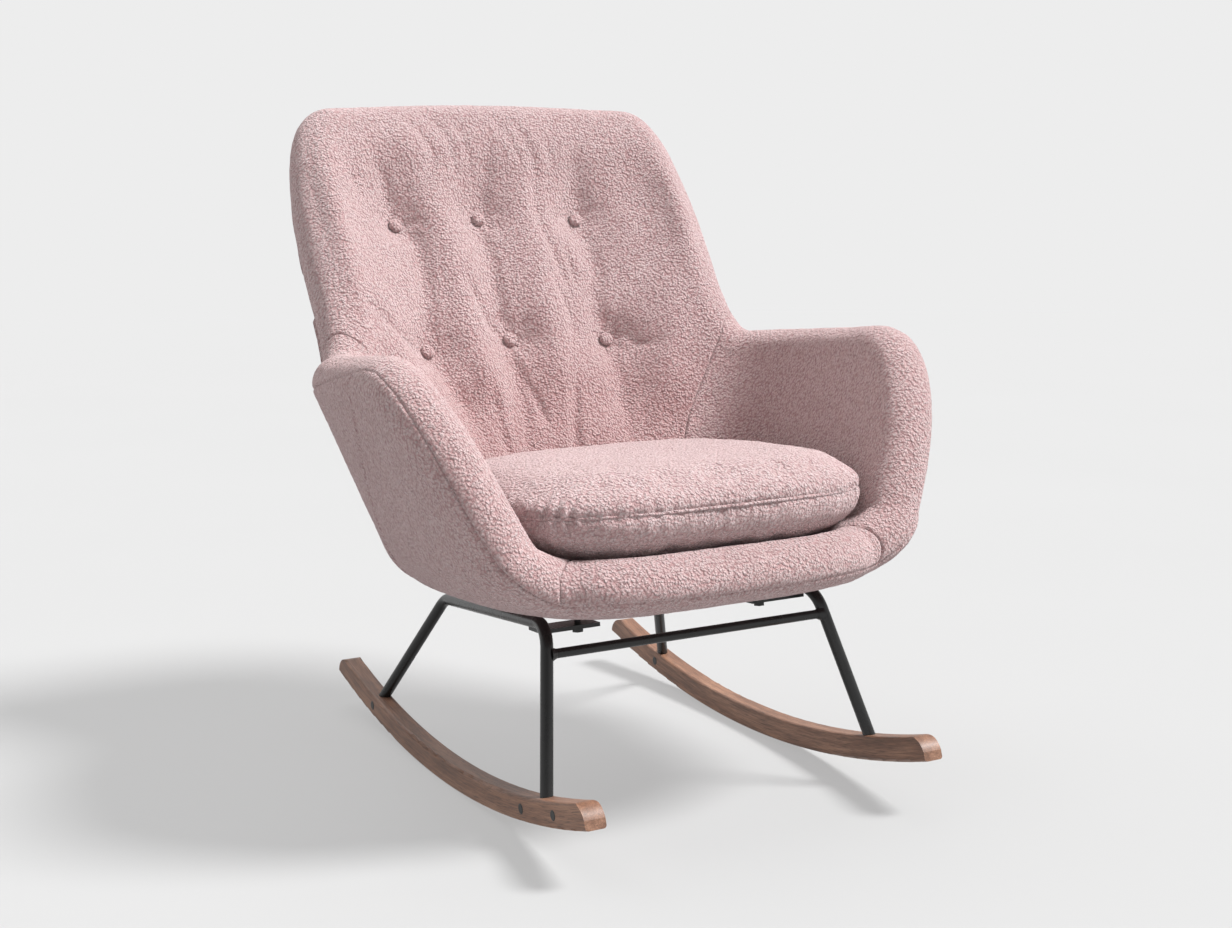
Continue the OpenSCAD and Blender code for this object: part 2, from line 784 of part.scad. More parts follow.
button_places = [
    [outer_button_shift - upper_button_a, upper_button_g],
    [middle_button_shift, upper_button_g],
    [outer_button_shift + upper_button_a, upper_button_g],
    [outer_button_shift - lower_button_a, lower_button_g],
    [middle_button_shift, lower_button_g],
    [outer_button_shift + lower_button_a, lower_button_g]
];
button_mids = [for (b = button_places) middle(b[0], b[1])];

// How far the inner back lies below the full padding: a broad hollow and the dimples
function hollow(a, g) =
    back_hollow * max(1 - (a / inner_seam_a) ^ 4, 0)
        * smooth_step((g - 1) / 0.4) * smooth_step((rim_g(a) - g - 0.1) / 0.45);
function sunk(a, g) =
    let(p = middle(a, g))
    hollow(a, g)
        + dimple_depth * max([for (m = button_mids) exp(-((norm(p - m) / dimple_r) ^ 2))]);

back_angles = [
    -inner_seam_a, -46, -43, -39.5, -36, -33, -30, -27.4, -24.8, -22.4, -19.8, -16.5, -13, -9.5,
    -6.6, -4.4, -2.2, 1, 4.5, 8, 11.5, 14.8, 17.6, 20, 22.6, 25.4, 28.5, 32, 35.5, 39.5, 43, 46,
    inner_seam_a
];

back_girths = concat(
    [deck_g, 0.48, 0.57, 0.67, 0.78, 0.9, 1.02, 1.15, 1.3, 1.43, 1.51],
    [1.6, 1.69, 1.78, 1.9, 2.02, 2.11], [2.2, 2.29, 2.38, 2.48]
);

// The back's columns are drawn in where the rim falls away at the shoulders
function back_column(a) =
    let(top = rim_g(a), s = min((top - 0.25 - deck_g) / 2.1, 1))
    concat(
        [for (g = back_girths) [deck_g + (g - deck_g) * s, 1, 0]],
        [for (d = near_rim) if (d > core_edge + 0.004) [top - d, 1, 0]]
    );

module inner_back() {
    columns = [for (a = back_angles) concat(back_column(a), over_rim(a))];
    n = len(back_angles) - 1;
    color(fabric) slab(
        [for (i = [0 : n]) let(a = back_angles[i])
            [for (c = columns[i]) pad_skin(a, c, c[1] > 0 ? sunk(a, c[0]) : 0)]],
        [for (i = [0 : n]) [for (c = columns[i]) pad_lining(back_angles[i], c)]]
    );
}

// Foam and fabric of the deck under the loose cushion
module seat_deck() {
    ring_g = [0.1, 0.2, 0.3, deck_g - 0.008];
    angles = [for (i = [0 : 35]) 10 * i - 180];
    floor_off = 16;
    edge_off = 6;
    color(fabric) dish(
        [for (a = angles) [for (g = ring_g) off_wall(a, g, half_t(a, g))]],
        [for (a = angles) [for (g = ring_g)
            off_wall(a, g, g < 0.35 ? floor_off : edge_off)]],
        off_wall(0, 0.01, bottom_t / 2),
        off_wall(0, 0.01, floor_off)
    );
}

// ---------- buttons ----------

function button_base(b) =
    off_wall(b[0], b[1], half_t(b[0], b[1]) - sunk(b[0], b[1]));
button_lift = 9;

// Covered buttons: a domed disc on a short shank
module tufting_buttons() {
    color(fabric) for (b = button_places) aim(button_base(b), normal(b[0], b[1])) {
        translate([0, 0, gap]) cylinder(h = button_lift - gap, r = 2.5);
        translate([0, 0, button_lift]) rotate_extrude() {
            square([button_d / 2 - 2, 4.5]);
            translate([button_d / 2 - 2, 2.25]) circle(2.25);
        }
    }
}

module button_twines() {
    color(foam) for (b = button_places) {
        n = normal(b[0], b[1]);
        rod(core_outer(b[0], b[1]) - 0.2 * n, button_base(b), 0.8);
    }
}

// Washers behind the shell that the twines are tied to
module button_anchors() {
    color(steel) for (b = button_places) {
        n = normal(b[0], b[1]);
        aim(core_outer(b[0], b[1]) - 1.2 * n, n) cylinder(h = 1, r = 8);
    }
}

// ---------- loose cushion ----------

cushion_y = (cushion_front_y + cushion_back_y) / 2;
cushion_half_d = (cushion_back_y - cushion_front_y) / 2;
cushion_n = 3.6;
cover_t = 3;

// Outline of the cushion: angle 0 is the back
function cushion_r(a) =
    ((abs(sin(a)) / cushion_half_w) ^ cushion_n + (abs(cos(a)) / cushion_half_d) ^ cushion_n)
        ^ (-1 / cushion_n);

// A point of the cushion, t below its cover: lat runs from -90 below to 90 above
function cushion_point(a, lat, t) =
    let(
        r = cushion_r(a) - t,
        h = (lat > 0 ? cushion_up : cushion_down) - t,
        in = cos(lat) ^ (lat > 0 ? 0.5 : 0.42),
        up = sin(abs(lat)) ^ (lat > 0 ? 0.95 : 0.8) * sign(lat)
    )
    let(y = r * in * cos(a))
    [r * in * sin(a), cushion_y + y, cushion_seam_z + h * up - tan(seat_tilt) * y];

cushion_angles = [for (i = [0 : 35]) 10 * i - 180];

module cushion_panel(side) {
    lats = side > 0 ? [86, 76, 62, 44, 22, 0.5] : [-86, -74, -58, -40, -20, -0.5];
    outer = [for (a = cushion_angles) [for (l = lats) cushion_point(a, l, 0)]];
    inner = [for (a = cushion_angles) [for (l = lats) cushion_point(a, l, cover_t)]];
    outer_top = cushion_point(0, side * 90, 0);
    inner_top = cushion_point(0, side * 90, cover_t);
    color(fabric)
        if (side > 0) dish(outer, inner, outer_top, inner_top);
        else dish(inner, outer, inner_top, outer_top);
}

module cushion_cover_top() { cushion_panel(1); }
module cushion_cover_bottom() { cushion_panel(-1); }

module cushion_foam() {
    lats = [-86, -74, -58, -40, -20, 0, 22, 44, 62, 76, 86];
    angles = cushion_angles;
    rows = len(angles);
    cols = len(lats);
    inside = cover_t + gap;
    function f(i, j) = (i % rows) * cols + j;
    color(foam) polyhedron(
        points = concat(
            [for (a = angles) each [for (l = lats) cushion_point(a, l, inside)]],
            [cushion_point(0, -90, inside), cushion_point(0, 90, inside)]
        ),
        faces = [for (i = [0 : rows - 1]) each concat(
            [for (j = [0 : cols - 2]) each [
                [f(i, j), f(i + 1, j), f(i + 1, j + 1)],
                [f(i, j), f(i + 1, j + 1), f(i, j + 1)]
            ]],
            [[f(i + 1, 0), f(i, 0), rows * cols],
             [f(i, cols - 1), f(i + 1, cols - 1), rows * cols + 1]]
        )]
    );
}

// Corded welt round the cushion's seam
module cushion_welt() {
    welt_r = 2.2;
    sides = 8;
    angles = [for (i = [0 : 59]) 6 * i - 180];
    rows = len(angles);
    function f(i, j) = (i % rows) * sides + j % sides;
    color(fabric) polyhedron(
        points = [for (a = angles) each [for (j = [0 : sides - 1])
            let(
                p = cushion_point(a, 0, 0),
                out = unit([p[0], p[1] - cushion_y, 0]),
                c = p + (welt_r + 0.3) * out
            )
            c + welt_r * (cos(360 * j / sides) * out + sin(360 * j / sides) * [0, 0, 1])]],
        faces = [for (i = [0 : rows - 1], j = [0 : sides - 1]) each [
            [f(i, j), f(i + 1, j), f(i + 1, j + 1)],
            [f(i, j), f(i + 1, j + 1), f(i, j + 1)]
        ]]
    );
}

runner_left();
runner_right();
runner_bolts();
runner_bolt_nuts();
clamp_screws();
screw_caps();
side_frame_left();
side_frame_right();
front_cross_bar();
cross_bar_welds();
leg_spigots();
mounting_lugs();
seat_bolts();
seat_washers();
tee_nuts();
base_board();
cross_battens();
batten_screws();
shell_core();
bottom_cover();
outer_back();
outer_side_left();
outer_side_right();
outer_front();
seat_deck();
front_roll();
inner_back();
inner_arm_left();
inner_arm_right();
tufting_buttons();
button_twines();
button_anchors();
cushion_cover_top();
cushion_cover_bottom();
cushion_foam();
cushion_welt();
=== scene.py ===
"""Looks of the rocking nursery chair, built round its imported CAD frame.

The upholstery is rebuilt as sewn panels with folds, seams and pile, the loose cushion is
blown up as cloth, and every metal and wooden CAD node gets its own material.
Shapes are worked out in millimetres and written to the meshes in metres.
"""

import json
import math

import bpy
import numpy as np
from mathutils import Matrix, Vector, kdtree, noise


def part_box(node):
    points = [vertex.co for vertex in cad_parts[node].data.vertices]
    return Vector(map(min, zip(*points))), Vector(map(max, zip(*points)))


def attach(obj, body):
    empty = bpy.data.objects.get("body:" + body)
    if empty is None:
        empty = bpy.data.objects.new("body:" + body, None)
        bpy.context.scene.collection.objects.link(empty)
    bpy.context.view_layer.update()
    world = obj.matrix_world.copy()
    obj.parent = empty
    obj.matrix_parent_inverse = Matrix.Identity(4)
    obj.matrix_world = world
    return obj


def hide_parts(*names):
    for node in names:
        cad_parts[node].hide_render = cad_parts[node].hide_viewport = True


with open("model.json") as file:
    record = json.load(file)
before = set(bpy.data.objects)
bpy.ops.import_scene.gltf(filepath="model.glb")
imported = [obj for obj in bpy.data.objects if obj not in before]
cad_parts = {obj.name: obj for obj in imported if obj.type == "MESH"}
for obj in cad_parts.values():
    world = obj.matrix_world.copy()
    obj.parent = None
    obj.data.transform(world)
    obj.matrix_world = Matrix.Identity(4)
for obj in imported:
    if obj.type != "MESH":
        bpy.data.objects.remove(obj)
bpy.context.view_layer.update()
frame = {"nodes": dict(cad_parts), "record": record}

MM = 0.001
CHAIR, CUSHION = "chair", "seat_cushion"


def smooth_min(a, b, k):
    h = np.maximum(k - np.abs(a - b), 0) / k
    return np.minimum(a, b) - h * h * k / 4


def smooth_max(a, b, k):
    return -smooth_min(-a, -b, k)


def smooth_step(t):
    c = np.clip(t, 0, 1)
    return c * c * (3 - 2 * c)


def unit(v):
    return v / (np.linalg.norm(v, axis=-1, keepdims=True) + 1e-12)


# ---------------------------------------------------------------- the bucket's surface
# An angle a goes round the seat (0 at the back, 90 at +X, 180 at the front), and a girth g
# goes up from the lowest point: 0 to 1 is the bowl, above 1 the wall rises by WALL a unit.
# The driving dimensions are the CAD's, under the same names.


def tan_deg(d):
    return math.tan(math.radians(d))


SEAT_Y, SEAT_Z, TILT = -82.0, 269.0, tan_deg(3.9)
BOWL_HALF_W, BOWL_REAR, BOWL_FRONT = 291.5, 231, 328  # reach to the sides, back and front
BOWL_H, BOWL_REAR_H, BOWL_FRONT_H = 78.5, 130, 95.5  # height at the sides, back and front
ARM_LEAN, BACK_LEAN, FRONT_LEAN = 19, 26.3, 31.7  # how far the wall leans out, in degrees
BACK_TOP_Z, ARM_TOP_Z, LIP_Z = 932, 574.5, 312.5  # heights of the rim
CROWN = 10.6  # how far the back's top edge falls in its first 30 degrees
BOWL_N, PLAN_REAR_N, PLAN_FRONT_N, PLAN_WALL_N = 2.26, 2.57, 3.73, 3.28  # squareness
WALL = 300.0
WALL_T, BOTTOM_T = 74.5, 64.0  # thickness of the padded wall and of the bottom
INNER_LOW, OUTER_LOW = 0.4, 0.36  # girths at which the side panels end below


def bowl_top(a):
    """Height of the bowl over its lowest point."""
    c = np.cos(np.radians(a))
    return BOWL_H + np.where(c > 0, BOWL_REAR_H - BOWL_H, BOWL_FRONT_H - BOWL_H) * c * c


def rim_z(a):
    """Height of the rim over the floor: high back, shoulders, arms, slopes and front lip."""
    t = np.abs((a + 180) % 360 - 180)
    back = BACK_TOP_Z - CROWN * (t / 30) ** 2
    shoulder = (BACK_TOP_Z + ARM_TOP_Z) / 2 - 17.8 * (t - 41.6)
    arm = ARM_TOP_Z + 5.6 * (t - 60) / 50
    slope = (ARM_TOP_Z + LIP_Z) / 2 - 11.2 * (t - 123.9)
    sides = smooth_max(smooth_min(back, shoulder, 85), arm, 109)
    return smooth_max(smooth_min(sides, slope, 140), LIP_Z + 0 * t, 62)


def rim_g(a):
    """Girth at which the rim lies."""
    h, top = rim_z(a) - SEAT_Z, bowl_top(a)
    low = np.degrees(np.arccos(np.clip(1 - h / top, 0, 1) ** (BOWL_N / 2))) / 90
    return np.where(h > top, 1 + (h - top) / WALL, low)


def plan_r(a, h):
    """Distance of the middle surface from the seat's axis at a height over its lowest point."""
    top = bowl_top(a)
    up = np.maximum(h - top, 0)
    ca, sa = np.cos(np.radians(a)), np.abs(np.sin(np.radians(a)))
    side = BOWL_HALF_W + tan_deg(ARM_LEAN) * up
    reach = np.where(ca >= 0, BOWL_REAR + tan_deg(BACK_LEAN) * up,
                     BOWL_FRONT + tan_deg(FRONT_LEAN) * up)
    n = np.where(ca >= 0, PLAN_REAR_N, PLAN_FRONT_N)
    n = n + (PLAN_WALL_N - n) * np.clip(up / 400, 0, 1)
    r = ((sa / side) ** n + (np.abs(ca) / reach) ** n) ** (-1 / n)
    k = np.clip(h / top, 0, 1)
    return r * (1 - (1 - k) ** BOWL_N) ** (1 / BOWL_N)


def middle(a, g):
    """Points of the middle surface, half way between the sitter's side and the outside."""
    top = bowl_top(a)
    bowl = top * (1 - np.cos(np.radians(90 * np.clip(g, 0, 1))) ** (2 / BOWL_N))
    h = np.where(g < 1, bowl, top + (g - 1) * WALL)
    r = plan_r(a, h)
    y = r * np.cos(np.radians(a))
    return np.stack([r * np.sin(np.radians(a)), SEAT_Y + y, SEAT_Z + h - TILT * y], -1)


def normal(a, g):
    """Unit normal of the middle surface, towards the sitter."""
    top = rim_g(a)
    reach = 0.004 + 0.12 * np.exp(-((g - 1) / 0.16) ** 2)  # rounds the bowl into the wall
    across = middle(a + 0.4, g) - middle(a - 0.4, g)
    up = middle(a, np.minimum(g + reach, top)) - middle(a, np.maximum(g - reach, 0.001))
    return unit(np.cross(across, up))


RIM_A = np.arange(-180, 180, 0.02)
RIM_TREE = kdtree.KDTree(len(RIM_A))
for index, point in enumerate(middle(RIM_A, rim_g(RIM_A))):
    RIM_TREE.insert(point, index)
RIM_TREE.balance()


def rim_distance(points):
    return np.array([RIM_TREE.find(point)[2] for point in points])


def half_t(a, g):
    """Half thickness of the padded wall: full in the wall, round towards the rim."""
    p = middle(a, g)
    half = (BOTTOM_T + (WALL_T - BOTTOM_T) * smooth_step((p[..., 2] - SEAT_Z) / 120)) / 2
    near = (g > rim_g(a) - 0.5) & (g < rim_g(a) - 1e-6)
    q = np.where(g >= rim_g(a) - 1e-6, 0.0, 1.0)
    q[near] = np.minimum(rim_distance(p[near]) / half[near], 1)
    return half * np.sqrt(1 - (1 - q) ** 2)


def wall_point(a, g, side):
    """A point of the sitter's side (side 1) or of the outside (side -1)."""
    return middle(a, g) + (side * half_t(a, g))[..., None] * normal(a, g)


# ---------------------------------------------------------------- panels

OVERLAP, OVERLAP_A = 1.2, 0.12  # how far panels reach past a seam, in mm and in degrees
EVENING_STEPS = 40  # passes that even out the line where the bowl meets the wall
ROUND = 0.13  # share of girth over which the wall rounds off towards the rim
EDGE_STEPS = np.array([0, 0.7, 1.6, 2.8, 4.4, 6.4, 9.0])  # rows close to a seam, in mm


def seam_drop(a):
    """How far straight below the rim the outer seam runs, in mm."""
    t = np.abs((a + 180) % 360 - 180)
    table = [(0, 30), (60, 30), (74, 22), (84, 15), (96, 8), (104, 4.5), (111, 6.5),
             (118, 11), (127, 26), (132, 35), (136, 24), (140, 13), (146, 11), (155, 12),
             (167, 14), (180, 14)]
    # where the back's rim runs down steeply, the same distance square to it reaches lower
    ahead, behind = middle(a + 1.5, rim_g(a + 1.5)), middle(a - 1.5, rim_g(a - 1.5))
    step = ahead - behind
    slope = np.abs(step[..., 2]) / np.hypot(step[..., 0], step[..., 1])
    slant = 1 + (np.sqrt(1 + slope ** 2) - 1) * smooth_step((72 - t) / 12)
    return np.interp(t, *np.array(table, float).T) * np.minimum(slant, 2.6)


def lengths(count_mm, total):
    """Positions along a line of some length: close together at both ends, even between."""
    n = max(int(round((total - 18) / count_mm)), 4)
    inner = np.linspace(EDGE_STEPS[-1], total - EDGE_STEPS[-1], n)
    return np.concatenate([EDGE_STEPS[:-1], inner, total - EDGE_STEPS[-2::-1]])


def resample(line, at):
    """Each row of line, (rows, points, values) with x, y, z first, at shares of its length."""
    step = np.linalg.norm(np.diff(line[..., :3], axis=1), axis=-1)
    run = np.concatenate([np.zeros((len(line), 1)), np.cumsum(step, 1)], 1)
    out = np.empty((len(line), len(at), line.shape[-1]))
    for i, row in enumerate(line):
        where = at * run[i, -1]
        for k in range(line.shape[-1]):
            out[i, :, k] = np.interp(where, run[i], row[:, k])
    return out, run[:, -1]


class Panel:
    """A grid of points on the upholstery, with the angle, girth and signed path of each."""

    def __init__(self, left, right, low, inner, spacing):
        """left and right give the side seams' angles for a share of the height. An inner
        panel runs up the sitter's side, over the rim and down to the outer seam. An outer
        one runs from that seam down."""
        share = np.linspace(0, 1 - ROUND, 90)
        turn = np.linspace(0, math.pi / 2, 40)
        width = self.width(left, right, low)
        self.rows = lengths(spacing, width) / width
        a_low, a_high = left(share) - OVERLAP_A, right(share) + OVERLAP_A
        rows = self.rows[:, None]
        body_a = a_low + rows * (a_high - a_low)
        rim_left, rim_right = left(1.0) - OVERLAP_A, right(1.0) + OVERLAP_A
        rim_a = rim_left + rows * (rim_right - rim_left) + 0 * turn
        top = rim_g(body_a)
        body_g = low + share / (1 - ROUND) * (top - ROUND - low)
        rim = rim_g(rim_a) - ROUND * (1 - np.sin(turn))
        drop = (seam_drop(rim_a[:, :1]) + (OVERLAP if inner else -OVERLAP)) / WALL
        if inner:
            # the last stretch comes down the outer side to the seam
            down = np.linspace(0, 1, 24)[1:]
            out_a = rim_a[:, :1] + 0 * down
            out_g = rim_g(out_a) - drop * down
            a = np.concatenate([body_a, rim_a[:, 1:], out_a], 1)
            g = np.concatenate([body_g, rim[:, 1:], out_g], 1)
            side = np.concatenate(
                [np.ones_like(body_a), np.ones_like(rim_a[:, 1:]), -np.ones_like(out_a)], 1)
        else:
            a = np.concatenate([body_a, rim_a[:, 1:]], 1)[:, ::-1]
            g = np.concatenate([body_g, rim[:, 1:]], 1)[:, ::-1]
            g = np.minimum(g, rim_g(a) - drop)
            side = -np.ones_like(a)
        p = wall_point(a, g, side)
        line = np.concatenate([p, a[..., None], g[..., None]], -1)
        total = np.linalg.norm(np.diff(p, axis=1), axis=-1).sum(1).mean()
        cols = lengths(spacing, total) / total
        grid, self.run = resample(line, cols)
        self.cols = cols
        self.p, self.a, self.g = grid[..., :3], grid[..., 3], grid[..., 4]
        near = np.exp(-((self.g[:, 1:-1] - 1) / 0.2) ** 2)[..., None]
        for _ in range(EVENING_STEPS):
            mid = (self.p[:, :-2] + self.p[:, 2:]) / 2
            self.p[:, 1:-1] += 0.5 * near * (mid - self.p[:, 1:-1])
        self.n = self.normals(self.p)

    @staticmethod
    def width(left, right, low):
        mid = 0.55
        a = np.linspace(left(mid), right(mid), 60)
        g = low + mid * (rim_g(a) - low)
        return np.linalg.norm(np.diff(middle(a, g), axis=0), axis=-1).sum()

    @staticmethod
    def normals(p):
        return unit(np.cross(np.gradient(p, axis=0), np.gradient(p, axis=1)))

    def from_edges(self):
        """Distance of each point from the panel's four edges, in mm: rows' ends, columns'."""
        step = np.linalg.norm(np.diff(self.p, axis=0), axis=-1)
        along = np.concatenate([np.zeros((1, step.shape[1])), np.cumsum(step, 0)], 0)
        across = self.cols[None] * self.run[:, None]
        return along, along[-1:] - along, across, self.run[:, None] - across


def seam_fall(d, depth=4.0, radius=6.5):
    """How far the cloth turns down at a seam, at distance d from it."""
    q = np.clip(d / radius, 0, 1)
    return depth * (1 - np.sqrt(1 - (1 - q) ** 2)) - 0.5 * np.exp(-((d - 11) / 6) ** 2)


def noise_at(p, size, seed):
    """Smooth noise from -1 to 1 at each point, of one feature per size mm."""
    flat = p.reshape(-1, 3) / size + seed
    return np.array([noise.noise(Vector(v)) for v in flat]).reshape(p.shape[:-1])


def pucker(d, along, size, reach, strength, seed):
    """Small gathers square to a seam: d is the distance from it, along the way along it."""
    wave = np.array([noise.noise(Vector((v / size, seed, 0))) for v in along.ravel()])
    return strength * wave.reshape(along.shape) * np.exp(-np.maximum(d - 2, 0) / reach)


def solid(name, face, thick, ring=False):
    """A closed slab of cloth: the grid of points face, and its back, thick mm behind it."""
    rows, cols = face.shape[:2]
    if ring:
        wrapped = np.concatenate([face[-1:], face, face[:1]], 0)
        n = Panel.normals(wrapped)[1:-1]
    else:
        n = Panel.normals(face)
    points = np.concatenate([face.reshape(-1, 3), (face - thick * n).reshape(-1, 3)]) * MM
    last = rows if ring else rows - 1
    i, j = np.meshgrid(np.arange(last), np.arange(cols - 1), indexing="ij")
    i, j, k = i.ravel(), j.ravel(), (i.ravel() + 1) % rows
    back = rows * cols
    front = np.stack([i * cols + j, k * cols + j, k * cols + j + 1, i * cols + j + 1], 1)
    behind = front[:, ::-1] + back
    e, f = np.arange(last), (np.arange(last) + 1) % rows
    low = np.stack([e * cols, e * cols + back, f * cols + back, f * cols], 1)
    high = np.stack([f * cols, f * cols + back, e * cols + back, e * cols], 1) + cols - 1
    quads = [front, behind, low, high]
    if not ring:
        c = np.arange(cols - 1)
        start = np.stack([c + 1, c + 1 + back, c + back, c], 1)
        end = start[:, ::-1] + (rows - 1) * cols
        quads += [start, end]
    return mesh_object(name, points, np.concatenate(quads))


def mesh_object(name, points, faces):
    mesh = bpy.data.meshes.new(name)
    if isinstance(faces, np.ndarray):
        faces = faces.tolist()
    mesh.from_pydata(np.asarray(points, float).tolist(), [], faces)
    mesh.validate()
    mesh.update()
    mesh.polygons.foreach_set("use_smooth", [True] * len(mesh.polygons))
    obj = bpy.data.objects.new(name, mesh)
    bpy.context.scene.collection.objects.link(obj)
    return obj


# ---------------------------------------------------------------- materials

def material(name):
    m = bpy.data.materials.new(name)
    m.use_nodes = True
    return m, Nodes(m.node_tree)


class Nodes:
    """Short ways to add and join shader nodes."""

    def __init__(self, tree):
        self.tree = tree
        self.bsdf = tree.nodes["Principled BSDF"]

    def add(self, kind, inputs=(), **settings):
        node = self.tree.nodes.new("ShaderNode" + kind)
        for key, value in settings.items():
            setattr(node, key, value)
        for key, value in dict(inputs).items():
            if isinstance(value, bpy.types.NodeSocket):
                self.tree.links.new(value, node.inputs[key])
            else:
                node.inputs[key].default_value = value
        return node

    def place(self):
        return self.add("TexCoord").outputs["Object"]

    def scaled(self, vector, scale):
        return self.add("Mapping", {"Vector": vector, "Scale": scale}).outputs["Vector"]

    def noise(self, vector, scale, detail=2.0, rough=0.5, warp=0.0, out="Fac"):
        return self.add("TexNoise", {"Vector": vector, "Scale": scale, "Detail": detail,
                                     "Roughness": rough, "Distortion": warp}).outputs[out]

    def math(self, op, a, b=0.0, clamp=False):
        return self.add("Math", {0: a, 1: b}, operation=op, use_clamp=clamp).outputs[0]

    def ramp(self, value, stops):
        node = self.add("ValToRGB", {"Fac": value})
        points = node.color_ramp.elements
        while len(points) < len(stops):
            points.new(0.5)
        for point, (where, colour) in zip(points, stops):
            point.position = where
            point.color = (*colour, 1)
        return node.outputs["Color"]

    def mix(self, factor, a, b, blend="MIX"):
        node = self.add("Mix", {0: factor}, data_type="RGBA", blend_type=blend)
        for key, value in ((6, a), (7, b)):
            if isinstance(value, bpy.types.NodeSocket):
                self.tree.links.new(value, node.inputs[key])
            else:
                node.inputs[key].default_value = (*value, 1)
        return node.outputs[2]

    def shade(self, colour, roughness, height=None, distance=0.001, strength=1.0, **fixed):
        for key, value in {"Base Color": colour, "Roughness": roughness}.items():
            if isinstance(value, bpy.types.NodeSocket):
                self.tree.links.new(value, self.bsdf.inputs[key])
            elif key == "Roughness":
                self.bsdf.inputs[key].default_value = value
        if height is not None:
            bump = self.add("Bump", {"Height": height, "Distance": distance,
                                     "Strength": strength})
            self.tree.links.new(bump.outputs["Normal"], self.bsdf.inputs["Normal"])
        for key, value in fixed.items():
            self.bsdf.inputs[key.replace("_", " ")].default_value = value


def grey(v):
    return (v, v, v)


def boucle(name, seed, painted_light_tint=(1.0, 1.0, 1.0), shade=None):
    """Looped wool: curled nubs of a few millimetres over a random tone. The colour follows the
    nubs' height, so painted shade makes the hollows between them deep rose and a painted
    highlight makes their tops pale. A panel can also be painted lighter or darker as a whole
    for how light falls on it. shade gives two heights in metres: painted shade deepens the
    cloth from the upper to the lower."""
    m, n = material(name)
    place = n.add("Mapping", {"Vector": n.place(), "Location": (seed, seed, 0)})
    place = place.outputs["Vector"]
    curl = n.noise(place, 230, 2.0, 0.6, out="Color")
    bent = n.add("VectorMath", {0: curl, 1: (0.0045, 0.0045, 0.0045)}, operation="MULTIPLY")
    bent = n.add("VectorMath", {0: place, 1: bent.outputs[0]}, operation="ADD").outputs[0]
    nub = n.add("TexVoronoi", {"Vector": bent, "Scale": 290.0, "Smoothness": 0.35,
                               "Randomness": 1.0}, feature="SMOOTH_F1").outputs["Distance"]
    nub = n.math("SUBTRACT", 1.0, n.math("MULTIPLY", nub, 1.35))
    loops = n.noise(bent, 400, 3.0, 0.6, 0.3)
    fibre = n.noise(place, 1500, 2.0, 0.6)
    height = n.math("ADD", n.math("MULTIPLY", nub, 0.56), n.math("MULTIPLY", loops, 0.34))
    height = n.math("ADD", height, n.math("MULTIPLY", fibre, 0.14))
    clump = n.noise(bent, 110, 2.0, 0.5)
    height = n.math("ADD", height, n.math("MULTIPLY", n.math("SUBTRACT", clump, 0.5), 0.24))
    patch = n.noise(place, 14, 3.0, 0.5)
    tone = n.math("ADD", height, n.math("MULTIPLY", n.math("SUBTRACT", patch, 0.5), 0.10))
    # painted shade and highlight: the ramp makes the low pile between nubs deep rose and the
    # high nub tops pale, on top of the random tone
    dark, mid, pale = (0.46, 0.27, 0.27), (0.61, 0.425, 0.425), (0.70, 0.565, 0.57)
    stops = [(0.26, dark), (0.50, mid), (0.76, pale)]
    # painted light and shade: each panel's whole colour ramp is scaled by its tint
    stops = [(w, tuple(c * k for c, k in zip(col, painted_light_tint))) for w, col in stops]
    colour = n.ramp(tone, stops)
    # painted shade: below the upper height the colour is darkened and made rosier, most at the
    # lower height near the seat
    if shade:
        z = n.add("SeparateXYZ", {0: n.place()}).outputs["Z"]
        deep = n.add("MapRange", {"Value": z, "From Min": shade[0], "From Max": shade[1]},
                     interpolation_type="SMOOTHSTEP").outputs[0]
        colour = n.mix(1.0, colour, n.mix(deep, (0.90, 0.80, 0.79), grey(1.0)), "MULTIPLY")
    n.shade(colour, 0.95, height, 0.0074, 1.0, Sheen_Weight=0.5, Sheen_Roughness=0.5,
            Sheen_Tint=(1.0, 0.95, 0.95, 1), Specular_IOR_Level=0.12)
    return m


def walnut():
    """Open-grained brown wood whose grain follows the runner's arc."""
    m, n = material("walnut_grain")
    place = n.place()
    rock, radius = 0.015, 1.45  # the arc's lowest point along Y, and its radius
    xyz = n.add("SeparateXYZ", {0: place})
    y = n.math("SUBTRACT", xyz.outputs["Y"], rock)
    z = n.math("SUBTRACT", radius, xyz.outputs["Z"])
    around = n.math("ARCTAN2", y, z)
    out = n.math("SQRT", n.math("ADD", n.math("MULTIPLY", y, y), n.math("MULTIPLY", z, z)))
    wood = n.add("CombineXYZ", {0: xyz.outputs["X"], 1: out,
                                2: n.math("MULTIPLY", around, radius)}).outputs[0]
    long = n.scaled(wood, (1, 1, 0.045))
    rings = n.noise(n.scaled(wood, (1, 1, 0.09)), 95, 3.0, 0.55, 0.4)
    streak = n.noise(long, 520, 3.0, 0.6)
    pores = n.noise(n.scaled(wood, (1, 1, 0.03)), 1500, 2.0, 0.5)
    broad = n.noise(n.scaled(wood, (1, 1, 0.2)), 22, 2.0, 0.5)
    tone = n.math("ADD", n.math("MULTIPLY", rings, 0.45), n.math("MULTIPLY", streak, 0.4))
    tone = n.math("ADD", tone, n.math("MULTIPLY", broad, 0.15))
    colour = n.ramp(tone, [(0.30, (0.070, 0.030, 0.016)), (0.48, (0.18, 0.084, 0.048)),
                           (0.62, (0.29, 0.151, 0.092)), (0.78, (0.41, 0.235, 0.149))])
    pit = n.ramp(pores, [(0.36, (0.42, 0.42, 0.42)), (0.46, grey(1.0))])
    colour = n.mix(1.0, colour, pit, "MULTIPLY")
    rough = n.math("ADD", 0.42, n.math("MULTIPLY", streak, 0.22))
    n.shade(colour, rough, n.math("ADD", n.math("MULTIPLY", streak, 0.6), pores),
            0.00035, 0.8, Coat_Weight=0.12, Coat_Roughness=0.35)
    return m


